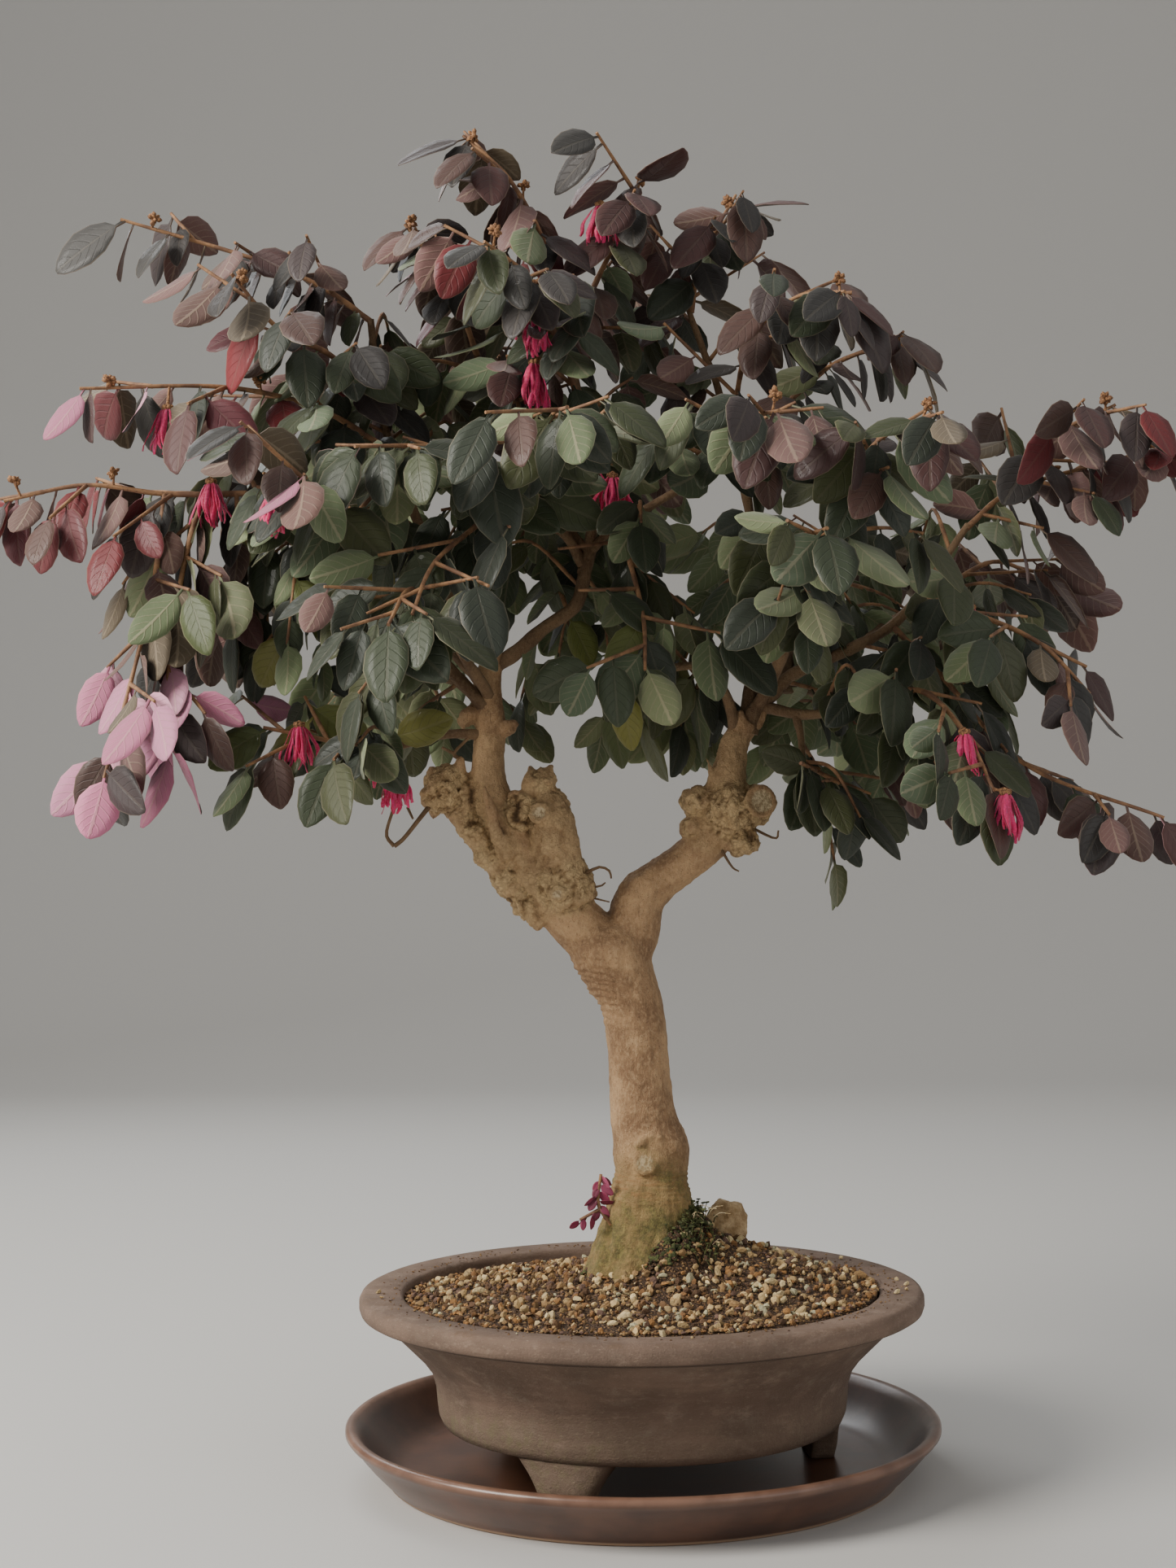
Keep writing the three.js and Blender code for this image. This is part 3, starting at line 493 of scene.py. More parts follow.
# Bare branches that carry the crown, as (x, y, z, radius)
branchLines = {
    "leftOut": [(-76, -3, 392, 4.2), (-104, -14, 422, 3.2), (-132, -28, 456, 2.8),
                (-165, -40, 488, 2.4), (-196, -45, 499, 1.8)],
    "leftHigh": [(-74, 4, 412, 4), (-94, 9, 448, 3.2), (-114, 8, 494, 2.7),
                 (-130, 0, 548, 2.2), (-136, -6, 598, 1.7)],
    "leftBack": [(-76, 5, 402, 4), (-100, 30, 432, 3), (-128, 62, 470, 2.4), (-150, 95, 508, 1.8)],
    "leftRear": [(-76, 5, 392, 3.6), (-92, 40, 408, 2.8), (-112, 80, 420, 2.3), (-128, 115, 424, 1.7)],
    "leftFront": [(-75, -4, 398, 3.6), (-86, -32, 416, 2.7), (-95, -62, 430, 2.2), (-102, -92, 440, 1.7)],
    "leftLow": [(-76, 0, 378, 3), (-100, -14, 378, 2.2), (-133, -30, 368, 1.6)],
    "leader": [(-74, 0, 413, 4), (-66, 0, 419.5, 3.8), (-49, 0, 433, 3.6), (-31, 0, 446, 3.5),
               (-25, 0, 462, 3.4), (-22, 0, 478, 3.2), (-20, 0, 504, 2.9), (-27, 6, 556, 2.3),
               (-36, 4, 606, 1.8)],
    "leaderFront": [(-26, 0, 468, 3), (-36, -6, 484, 2.6), (-48.5, -14, 490, 2.3),
                    (-59, -26, 504, 2), (-70, -44, 512, 1.6)],
    "leaderLeft": [(-23, 0, 474, 2.8), (-43, 8, 504, 2.3), (-62, 20, 545, 2), (-82, 14, 584, 1.6)],
    "leaderRight": [(-23, 0, 474, 2.8), (-6, -6, 488, 2.5), (18, -22, 499, 2.2), (38, -44, 508, 1.7)],
    "leaderBack": [(-26, 0, 464, 3), (-22, 36, 498, 2.5), (-19, 75, 526, 2.1), (-18, 108, 542, 1.7)],
    "rightOut": [(60, 0, 378, 4.8), (62, 0, 388, 4.6), (70, 0, 397, 4.2), (79, 0, 406, 3.8),
                 (90, 0, 412.6, 3.4), (115, 0, 422, 3), (138, 0, 436, 2.6), (160, 4, 462, 2.2),
                 (178, 6, 488, 1.7)],
    "rightLeader": [(59, 2, 380, 4), (66, 12, 430, 3.2), (64, 24, 500, 2.7), (50, 26, 560, 2.2),
                    (32, 24, 612, 1.7)],
    "rightInner": [(54, 0, 372, 3.6), (48, -6, 398, 2.8), (36, -12, 412, 2.4), (14, -20, 410, 2),
                   (0, -26, 409, 1.6)],
    "rightLow": [(68, 0, 392, 3.4), (88, -6, 387, 2.7), (109, -14, 389, 2.3), (124, -24, 397, 1.8)],
    "rightDrop": [(84, -5, 388, 2.4), (87, -8, 372, 2), (87, -10, 358, 1.5)],
    "rightFront": [(66, -2, 394, 3.6), (82, -38, 430, 2.8), (94, -72, 464, 2.3), (102, -100, 486, 1.7)],
    "rightBack": [(64, 2, 390, 3.8), (90, 45, 425, 2.9), (112, 86, 458, 2.3), (126, 120, 478, 1.7)],
    "rightRear": [(76, 2, 402, 3.2), (98, 45, 404, 2.6), (112, 90, 400, 1.8)],
    "rightFar": [(112, 1, 420, 2.8), (148, 45, 446, 2.3), (184, 80, 470, 1.7)],
}

# The tree's wood: trunk, limbs and roots in one skin, with burls where it was cut back
wood = {
    "voxel": 1.1,
    "smoothing": 0.5,
    # how finely the lines are followed: solid wood, bare branches and dead twigs
    "pitch": 2.5,
    "branchPitch": 4,
    "twigPitch": 3,
    "branchSwell": 0.22,
    "branchSway": 1.3,
    "trunk": [(1, 0, 72, 33), (2, 0, 92, 33.5), (3.6, 0, 104, 31), (5.3, 0, 122, 25.5),
              (5.6, 0, 140, 21.4), (6.2, 0, 151, 19), (5.8, 0, 163, 19.8), (2.6, 0, 180, 17),
              (0, 0, 216, 15.5), (-3, 0, 239, 16.3), (-9, 0, 254, 18.6), (-15, 0, 268, 20.5),
              (-17, 0, 277, 16)],
    "limbs": [
        [(-10, 0, 258, 16), (-27, -1, 276.5, 14.6), (-42.5, -2, 295, 13.6), (-59, -2, 316, 12),
         (-70, -1, 334, 11.4), (-76, 0, 350, 10.4), (-76.5, 0, 367, 8.4), (-75, 0, 384.5, 8.1),
         (-76.7, 0, 401.6, 7.6), (-73.5, 0, 421, 5.6)],
        [(-33, -7, 290, 14), (-40, -9, 312, 12), (-43, -9, 331, 11.4), (-44, -8, 340, 9.8),
         (-48.5, -8, 348, 7), (-50, -8, 357, 5)],
        [(-8, 0, 260, 15), (-2.4, 0, 273, 14), (1.2, 0, 291, 13.2), (12.4, 0, 302, 11.5),
         (27.8, 0, 313, 10.8), (40, 0, 324.5, 11), (45, 0, 340, 12), (49.3, 0, 360, 8.9),
         (53.3, 0, 374, 7.2), (60.3, 0, 384, 5.9)],
    ],
    "roots": [
        [(0, -8, 114, 12), (-7, -24, 104, 8), (-10, -35, 95, 6)],
        [(-6, 0, 116, 12), (-17, -2, 107, 8.5), (-25, -3, 97, 5.5)],
        [(8, -6, 114, 13), (22, -19, 104, 9), (32, -27, 96, 6)],
        [(10, 4, 114, 12), (23, 6, 106, 8.5), (32, 9, 98, 6)],
        [(0, 8, 114, 13), (-8, 25, 104, 9), (-12, 37, 97, 6)],
    ],
    # burls with fewer flakes stay smooth. The rough bark of the others fades out over a share of
    # their reach, and a sawn face ends at a share of its radius.
    "leastFlakes": 6,
    "burlReach": 1.35,
    "burlFade": 0.75,
    "flakyFade": 0.7,
    "sawnFade": (0.72, 0.86),
    "sawnDepth": 1.2,
    # how much a burl swells, and the flakes on it: how deep they sit, their thickness and width
    "burlSwell": 0.28,
    "flake": {"depth": (0.86, 1.06), "thick": (1.6, 2.6), "wide": (2, 5), "long": (0.8, 1.6), "lean": 0.8},
    # centre, radii, and how many flakes cover it
    "burls": [
        ((-97.5, 0, 350), (12, 10, 12), 26), ((-87, 1, 344), (10, 9, 9), 12),
        ((-76, -5, 316), (5, 6, 8), 7), ((-68, -5, 303), (5, 6, 8), 7), ((-60, -5, 292), (5, 6, 8), 6),
        ((-37, -8, 300), (14.6, 12, 11), 10), ((50, -4, 337), (14.5, 12.5, 12.5), 24),
        ((32, -3, 341.5), (8, 7.5, 7.5), 14), ((62, -2, 341), (9, 9, 10), 6),
        ((3.5, -11, 159), (9, 9, 9), 4), ((-50, -9, 352), (7, 7, 7), 12),
        ((-84, -4, 330), (4, 5, 8), 7), ((-59, -11, 338), (6, 6, 9), 8),
        ((29, -5, 329), (5, 5, 5), 6), ((56, -6, 321), (8, 6, 6), 12),
        ((16, -1, 157), (8, 8, 8), 2), ((-66, -4, 382), (4, 4, 4), 2), ((-86, -2, 388), (3.5, 3.5, 4), 4),
    ],
    # stubs of dead wood, as lines of (x, y, z, radius)
    "stubs": [
        [(-66, -11, 314, 4.6), (-71, -14, 329, 4.2), (-75, -16, 341, 3), (-78, -16, 351, 1.2)],
        [(-93, -4, 339, 6), (-84, -5, 327, 6), (-75, -6, 314, 6), (-67, -7, 302, 6), (-58, -7, 290, 5),
         (-48, -6, 280, 5)],
        [(-52, -12, 340, 4), (-60, -14, 346, 2.8), (-66, -13, 347, 1.6)],
        [(-50, -9, 350, 5), (-53, -9, 358, 3), (-55, -8, 362, 1.2)],
        [(-47, -9, 350, 4.4), (-45, -10, 357, 2.8), (-43, -9, 362, 1.3)],
        [(-91, -2, 355, 4), (-91, -4, 364, 2.8), (-90, -3, 367, 1.4)],
        [(-102, -3, 352, 4), (-105, -5, 359, 2.8), (-106, -4, 362, 1.4)],
        [(-104, -3, 349, 4), (-109, -4, 349, 2.6), (-111, -4, 347, 1.6)],
        [(-92, -6, 338, 3), (-89, -9, 330, 2.6), (-86, -9, 323, 1.3)],
        [(40, -5, 350, 2), (39, -6, 360, 1.3), (37, -5, 366, 0.7)],
        [(56, -2, 380, 4), (56, -3, 386, 3), (55, -3, 390, 1.6)],
        [(64, 0, 382, 3), (67, -1, 387, 2.2), (69, -1, 391, 1)],
        [(-73.5, 0, 415, 5), (-72, -1, 426, 3.6), (-71, -1, 430, 1.8)],
        [(-86, -1, 385, 2.4), (-90, -3, 384, 1.6), (-93, -4, 387, 0.9)],
    ],
    # rough flaking bark along these lines: start, end, reach, how rough
    "flaky": [((-54, -8, 290), (-88, -6, 346), 15, 0.62), ((-40, -10, 300), (-46, -12, 350), 15, 0.58),
              ((-74, -4, 350), (-76, -2, 372), 11, 0.25), ((38, -4, 326), (50, -2, 366), 15, 0.4)],
    # folds that cut in: start, end, reach, depth
    "folds": [((-72, -15, 336), (-56, -20, 316), 3.2, 3.4), ((-56, -20, 316), (-52, -20, 300), 3, 1.6),
              ((-62, -16, 350), (-62, -18, 332), 3, 2.2), ((-86, -8, 356), (-82, -12, 336), 3, 1.6),
              ((-15, -12, 124), (-17, -23, 98), 5.5, 4), ((-12, -22, 132), (-15, -14, 124), 4, 1.5),
              ((6, -27, 122), (10, -33, 98), 5, 2)],
    # knobs of callus along an arc over the scar on the trunk
    "hood": {"middle": (8, 165.5), "reach": (9.5, 6.5), "from": -0.4, "sweep": 3.3, "count": 28,
             "size": (1.2, 2.1)},
    # sawn faces: centre, the way they look, radius
    "cuts": [
        ((2.6, -19.7, 158), (0.02, -1, 0.1), 5.4),
        ((65, -15, 342), (0.4, -1, 0.1), 7.4),
        ((-49.4, -20.2, 337), (-0.35, -1, 0.15), 4.2),
        ((-40.5, -22.4, 295.5), (-0.1, -1, -0.15), 2.8),
    ],
    # beads of the callus ring round each sawn face, and the depth of the face's disc
    "cutBeads": 60,
    "cutDepth": 14,
    # heights of the wrinkled belt, of the wrinkles under the left limb, of the ribs over the roots,
    # of the coarser foot and of the moss, and where the swirl of the right limb lies and fades
    "belt": (132, 139, 149, 156),
    "squeeze": (218, 232, 256, 272),
    "squeezeSide": (-2, -14),
    "ribs": (150, 108),
    "coarse": (150, 128),
    "mossy": (196, 112),
    "swirl": {"middle": (-1, -10, 301), "fade": (9, 17), "eye": (3, -6, 296)},
    # thin dead twigs, as lines of (x, y, z, radius)
    "twigs": [
        [(-106, -4, 343, 1.4), (-112, -8, 335, 1.2), (-120, -9, 325, 1.1), (-125, -9, 321, 1.2)],
        [(-125, -9, 321, 1.2), (-129, -9, 327, 1), (-126, -10, 338, 0.9), (-122, -9, 349, 1.1)],
        [(-118, -9, 341, 0.8), (-115, -12, 335, 0.6)],
        [(-90, -2, 366, 1.3), (-94, -5, 369, 1), (-86, -8, 377, 0.9)],
        [(-94, -5, 369, 1), (-100, -8, 372, 0.8)],
        [(-26, -12, 306, 1), (-19, -15, 309, 0.8), (-14, -16, 307, 0.7), (-13, -16, 303, 0.5)],
        [(-25, -12, 299, 0.8), (-19, -15, 299, 0.6), (-16, -16, 301, 0.4)],
        [(-26, -12, 294, 0.8), (-18, -14, 292, 0.5), (-14, -15, 291, 0.4)],
        [(58, -5, 330, 1), (72, -7, 323, 0.7), (74, -8, 327, 0.5)],
        [(42, -5, 322, 0.9), (49, -11, 309, 0.6), (53, -12, 306, 0.4)],
    ],
}


def nearLine(point, start, end):
    run = end - start
    share = min(max((point - start).dot(run) / run.length_squared, 0), 1)
    return (point - start - run * share).length


def woodShell():
    chance = Random(5)
    flake = wood["flake"]
    bm = bmesh.new()
    lines = [wood["trunk"], *wood["limbs"], *wood["roots"], *wood["stubs"]]
    addTubes(bm, [Line(line).sampled(wood["pitch"]) for line in lines], 6)
    for centre, radii, crumbs in wood["burls"]:
        for vert in addBall(bm, 4):
            swell = 1 + wood["burlSwell"] * noise.noise(vert.co * 1.6 + Vector(centre))
            vert.co = Vector(centre) + scaled(vert.co, radii) * swell
        for crumb in range(crumbs):
            way = randomWay(chance, -0.4)
            spot = Vector(centre) + scaled(way, radii) * chance.uniform(*flake["depth"])
            if any((spot - Vector(middle)).length < radius + 5 for middle, face, radius in wood["cuts"]):
                continue
            size = chance.uniform(*flake["wide"])
            lean = Vector(chance.uniform(-flake["lean"], flake["lean"]) for axis in range(3))
            lie = (way + lean).to_track_quat("X", "Z").to_matrix().to_4x4()
            thick = chance.uniform(*flake["thick"])
            shape = Matrix.Diagonal((thick, size, size * chance.uniform(*flake["long"]), 1))
            addBall(bm, 2, Matrix.Translation(spot) @ lie @ shape)
    # each sawn face is a flat disc in a ring of callus
    depth = wood["cutDepth"]
    for centre, way, radius in wood["cuts"]:
        turn = Vector(way).to_track_quat("Z", "Y").to_matrix().to_4x4()
        seat = Matrix.Translation(Vector(centre)) @ turn
        bmesh.ops.create_cone(bm, cap_ends=True, segments=32, radius1=radius * 0.9, radius2=radius * 0.9,
                              depth=depth, matrix=seat @ Matrix.Translation((0, 0, -depth / 2)))
        for step in range(wood["cutBeads"]):
            bead = around(2 * math.pi * step / wood["cutBeads"]) * radius * 1.02
            size = max(radius * 0.2, 1.1) * (1 + 0.2 * noise.noise(bead / 3 + Vector(centre)))
            addBall(bm, 2, seat @ Matrix.Translation(bead + Vector((0, 0, -0.3))), size)
    hood = wood["hood"]
    (middleX, middleZ), (reachX, reachZ) = hood["middle"], hood["reach"]
    trunk = Line(wood["trunk"])
    for step in range(hood["count"]):
        angle = hood["from"] + hood["sweep"] * step / (hood["count"] - 1)
        x = middleX + reachX * math.cos(angle) + chance.uniform(-1, 1)
        z = middleZ + reachZ * math.sin(angle) + chance.uniform(-1, 1)
        near = min(trunk.sampled(2), key=lambda point: abs(point[2] - z))
        y = near[1] - math.sqrt(near[3] ** 2 - (x - near[0]) ** 2)
        addBall(bm, 2, Matrix.Translation((x, y, z)), chance.uniform(*hood["size"]))
    mesh = meshFrom(bm, "woodShell")
    holder = addObject("woodShell", mesh)
    remesh = holder.modifiers.new("skin", "REMESH")
    remesh.mode = "VOXEL"
    remesh.voxel_size = wood["voxel"]
    done = bpy.data.meshes.new_from_object(holder.evaluated_get(bpy.context.evaluated_depsgraph_get()))
    bpy.data.objects.remove(holder)
    bpy.data.meshes.remove(mesh)
    return done


# How burled the wood is at a point, from 0 on smooth bark to 1
def burlShare(point):
    best = 0
    for centre, radii, crumbs in wood["burls"]:
        if crumbs < wood["leastFlakes"]:
            continue
        reach = max(radii) * wood["burlReach"]
        best = max(best, 1 - ease(reach * wood["burlFade"], reach, (point - Vector(centre)).length))
    for start, end, reach, share in wood["flaky"]:
        away = nearLine(point, Vector(start), Vector(end))
        best = max(best, share * (1 - ease(reach * wood["flakyFade"], reach, away)))
    return best


def foldDepth(point):
    deepest = 0
    for start, end, reach, depth in wood["folds"]:
        deepest = max(deepest, depth * (1 - ease(0, reach, nearLine(point, Vector(start), Vector(end)))))
    return deepest


def sawnShare(point):
    best = 0
    for centre, way, radius in wood["cuts"]:
        offset = point - Vector(centre)
        depth = offset.dot(Vector(way).normalized())
        if abs(depth) < wood["sawnDepth"]:
            core, edge = (radius * share for share in wood["sawnFade"])
            best = max(best, 1 - ease(core, edge, offset.length))
    return best


def makeWood():
    shell = woodShell()
    bm = bmesh.new()
    bm.from_mesh(shell)
    bpy.data.meshes.remove(shell)
    bmesh.ops.smooth_vert(bm, verts=bm.verts[:], factor=wood["smoothing"], use_axis_x=True,
                          use_axis_y=True, use_axis_z=True)
    bm.normal_update()
    burl = bm.verts.layers.float.new("burl")
    relief = bm.verts.layers.float.new("relief")
    moss = bm.verts.layers.float.new("moss")
    sawn = bm.verts.layers.float.new("sawn")
    for vert in bm.verts:
        spot = vert.co.copy()
        rough = burlShare(spot)
        cut = sawnShare(spot)
        calm = 1 - cut
        grain = noise.fractal(Vector((spot.x, spot.y, spot.z * 0.35)) / 7, 0.8, 2.1, 4)
        broad = noise.noise(spot / 22)
        ridge = crack = 0
        if rough > 0:
            warped = spot / 8 + noise.noise_vector(spot / 6) * 0.6
            ridge = noise.ridged_multi_fractal(warped, 0.7, 2.1, 4, 1, 2) - 1.2
            gaps = noise.voronoi(spot / 5.5 + noise.noise_vector(spot / 5) * 0.6)[0]
            crack = ease(0.16, 0, gaps[1] - gaps[0])
        bits = noise.fractal(Vector((spot.x, spot.y, spot.z * 0.6)) / 3.2, 0.9, 2.1, 3)
        height = 0.5 * grain + 0.9 * broad + (0.3 + 0.35 * ease(*wood["coarse"], spot.z)) * bits
        fold = foldDepth(spot)
        belt = inBand(wood["belt"], spot.z)
        height += 0.3 * belt * math.sin(spot.z * 2.4 + 4 * noise.noise(spot / 9)) - fold
        # wrinkles squeezed up under the left limb, and swirls on the right one
        squeeze = ease(*wood["squeezeSide"], spot.x) * inBand(wood["squeeze"], spot.z)
        height += 0.5 * squeeze * math.sin(spot.z * 1.9 + 0.7 * noise.noise(spot / 6) * 6 + spot.x * 0.35)
        swirl = 1 - ease(*wood["swirl"]["fade"], (spot - Vector(wood["swirl"]["middle"])).length)
        height += 0.32 * swirl * math.sin((spot - Vector(wood["swirl"]["eye"])).length * 1.7)
        # ribs that run down into the roots
        angle = math.atan2(spot.y, spot.x - 4)
        rib = Vector((math.cos(angle) * 2.6, math.sin(angle) * 2.6, spot.z / 55))
        height += 2.2 * ease(*wood["ribs"], spot.z) * noise.noise(rib)
        height += rough * (1.3 * ridge - 0.6 * crack + 0.5)
        vert.co += vert.normal * height * calm
        vert[burl] = rough
        # how high the bark stands: the bark material paints it as highlight on raised burl and shade in
        # cracks and folds
        level = 0.6 + 0.3 * ridge * rough - 0.35 * crack * rough + 0.2 * grain + 0.2 * bits - 0.22 * fold
        vert[relief] = min(max(level, 0), 1)
        vert[moss] = ease(*wood["mossy"], spot.z + 9 * broad)
        vert[sawn] = cut
    bare = [Line(line).sampled(wood["branchPitch"]) for line in branchLines.values()]
    for number, line in enumerate(bare):
        for step, point in enumerate(line):
            swell = 1 + wood["branchSwell"] * noise.noise(Vector((step * 0.45, number * 7.3, 0)))
            line[step] = Vector((*point[:3], point[3] * swell))
            wave = noise.noise_vector(Vector((step * 0.16, number * 3.1, 5))) * wood["branchSway"]
            line[step] += Vector((*wave, 0)) * ease(0, 4, step) * ease(0, 4, len(line) - 1 - step)
    addTubes(bm, bare, 2)
    addTubes(bm, [Line(line).sampled(wood["twigPitch"]) for line in wood["twigs"]], 1)
    makePiece("tree_wood_skin", bm, [bark], ["tree_wood"])


makeWood()
print("wood made")

# Leafy sprays: where a stem leaves its branch, its further points, and the share of its leaves
# that show their underside. from names the spray whose stem it grows from.
sprays = {
    "left_tip": {"line": [(-195, -45, 499), (-236, -46, 499), (-275, -51, 503), (-314, -58, 494)],
                 "below": 0.2},
    "left_drop": {"line": [(-236, -46, 499), (-240, -56, 450), (-249, -68, 400), (-259, -80, 354)],
                  "below": 0.8, "from": "left_tip"},
    "left_fall": {"line": [(-216, -46, 499), (-225, -54, 462), (-231, -62, 408), (-229, -70, 366)],
                  "below": 0.5, "from": "left_tip"},
    "left_high": {"line": [(-136, -6, 597), (-158, -12, 612), (-190, -20, 625), (-262, -30, 645)],
                  "below": 0.3},
    "left_mid": {"line": [(-124, 3, 528), (-160, -30, 545), (-205, -55, 551), (-272, -76, 546)],
                 "below": 0.4},
    "left_up": {"line": [(-131, -1, 552), (-152, -38, 570), (-176, -64, 578), (-196, -84, 600)],
                "below": 0.2},
    "left_front": {"line": [(-136, -30, 460), (-142, -76, 480), (-156, -108, 492), (-184, -132, 516)],
                   "below": 0.5},
    "left_low": {"line": [(-132, -30, 368), (-156, -42, 374), (-186, -52, 380)], "below": 0.1},
    "left_back_high": {"line": [(-149, 94, 507), (-176, 118, 530), (-212, 136, 532)], "below": 0.1},
    "left_back_mid": {"line": [(-130, 64, 473), (-168, 82, 484), (-208, 92, 474), (-238, 96, 448)],
                      "below": 0.2},
    "left_rear_low": {"line": [(-127, 114, 424), (-148, 142, 426), (-166, 168, 408)], "below": 0.1},
    "left_rear_high": {"line": [(-124, 3, 528), (-134, 46, 560), (-150, 84, 584), (-170, 112, 592)],
                       "below": 0.1},
    "front_left_low": {"line": [(-101, -91, 440), (-108, -120, 438), (-114, -152, 418)], "below": 0.1},
    "front_left": {"line": [(-60, -28, 505), (-76, -74, 478), (-96, -112, 452), (-104, -142, 424)],
                   "below": 0.1},
    "front_mid": {"line": [(-69, -43, 512), (-98, -90, 512), (-132, -122, 506)], "below": 0.1},
    "front_centre": {"line": [(-50, -16, 491), (-46, -62, 510), (-40, -108, 522), (-32, -146, 518)],
                     "below": 0.1},
    "top_left": {"line": [(-36, 4, 604), (-44, -10, 636), (-62, -18, 668), (-86, -16, 692)], "below": 0.2},
    "top_mid": {"line": [(-32, 5, 584), (-16, -4, 620), (1, -12, 650), (6, -18, 668)], "below": 0.1},
    "top_right": {"line": [(34, 24, 608), (40, 20, 640), (60, 12, 662)], "below": 0.2},
    "top_front": {"line": [(-25, 5, 548), (-38, -36, 580), (-52, -66, 602), (-72, -92, 612)], "below": 0.1},
    "top_side": {"line": [(-81, 14, 583), (-94, 6, 618), (-118, -2, 650)], "below": 0.3},
    "top_back": {"line": [(-33, 5, 590), (-24, 48, 620), (-16, 88, 632)], "below": 0.1},
    "back_left": {"line": [(-64, 20, 550), (-70, 62, 592), (-84, 98, 612)], "below": 0.1},
    "back_mid": {"line": [(-18, 107, 541), (-15, 138, 556), (-12, 170, 538)], "below": 0.1},
    "right_high": {"line": [(55, 26, 545), (62, -18, 580), (84, -38, 598), (112, -46, 598)], "below": 0.1},
    "right_shoulder": {"line": [(62, 25, 515), (88, 14, 560), (118, 2, 578), (150, -8, 580)], "below": 0.1},
    "right_mid": {"line": [(96, -76, 468), (112, -104, 506), (138, -124, 518)], "below": 0.3},
    "right_far": {"line": [(177, 6, 486), (202, 16, 507), (240, 24, 520), (288, 22, 531)], "below": 0.3},
    "right_crest": {"line": [(202, 16, 507), (220, 4, 532), (254, -8, 548)], "below": 0.2,
                    "from": "right_far"},
    "right_low_far": {"line": [(136, 0, 434), (160, -16, 404), (198, -34, 358), (262, -52, 330)],
                      "below": 0.3},
    "right_low": {"line": [(123, -23, 396), (144, -52, 394), (160, -78, 370), (170, -92, 342)], "below": 0.3},
    "right_mid_low": {"line": [(150, 2, 450), (176, -26, 436), (204, -46, 418), (226, -54, 392)],
                      "below": 0.2},
    "right_under": {"line": [(87, -9, 362), (94, -16, 357), (104, -24, 350)], "below": 0.4},
    "centre_hang": {"line": [(-6, -7, 487), (-1, -30, 462), (4, -58, 432), (4, -78, 404)], "below": 0.3},
    "centre_low": {"line": [(36, -12, 412), (30, 16, 408), (18, 52, 396)], "below": 0.2},
    "front_right": {"line": [(37, -43, 507), (48, -84, 524), (66, -134, 518)], "below": 0.3},
    "front_right_low": {"line": [(84, -42, 434), (74, -84, 462), (88, -128, 464)], "below": 0.6},
    "right_back": {"line": [(183, 79, 469), (212, 96, 482), (246, 102, 466)], "below": 0.1},
    "right_rear_high": {"line": [(125, 119, 477), (144, 146, 500), (168, 168, 494)], "below": 0.1},
    "right_rear_low": {"line": [(111, 89, 400), (130, 122, 396), (148, 152, 372)], "below": 0.1},
    "back_right": {"line": [(104, 70, 444), (84, 110, 470), (70, 146, 476)], "below": 0.1},
}
leafForm = {
    "length": (29, 45),
    "hiddenShare": 0.88,
    "widthShare": 0.62,
    "thickness": 0.012,
    "rows": (0, 0.13, 0.21, 0.38, 0.6, 0.8, 0.93, 1),
    "columns": 4,
    "petioleShare": 0.14,
    "arch": 0.16,
    "fold": 0.16,
    "tipSink": 2.5,
    "kinds": 10,
    "droop": (0.7, 1.6),
    "facing": {"middle": 30, "reach": 50, "pull": 0.65},
    "leastFacing": 0.22,
    "crownCentre": (-15, 0, 430),
    # what each kind draws: factors of arch, fold and width, and its own sway, twist, wave and lean
    "varies": {"arch": (0.5, 1.4), "fold": (0.7, 1.7), "sway": (-0.05, 0.05), "twist": (-0.42, 0.42),
               "wave": (0.003, 0.01), "phase": (0, 6), "lean": (-0.06, 0.06), "wide": (0.86, 1.02)},
    # where a blade's middle lies, how near another one has to be to cross it, and the search cells
    "middle": 0.55,
    "nearest": 44,
    "cell": 25,
}
# in front of the wood, where no leaf hangs
bareZones = [((-116, -90, 270), (-18, 10, 376)), ((14, -90, 296), (76, 10, 384)),
             ((-64, -150, 400), (-8, 2, 486)), ((-160, -100, 260), (-100, 20, 322))]
stemForm = {
    "stemRadii": (1.7, 0.9),
    "twigRadii": (1.2, 0.8),
    "twigLength": (32, 58),
    "twigs": 5,
    "leafPitch": 11,
    "firstShown": 2,
    "shownStep": 3,
    "shownTwigs": (0, 1, 3),
    "twigLeaves": 3,
    "pitch": 5,
    "knots": 0.25,
}


# How wide a leaf is at a share of its length, as a share of its greatest half width
def leafHalf(along):
    blade = (along - leafForm["petioleShare"]) / (1 - leafForm["petioleShare"])
    if blade <= 0:
        return 0.06
    return max(math.sin(math.pi * blade ** 0.86) ** 0.56, 0.1)


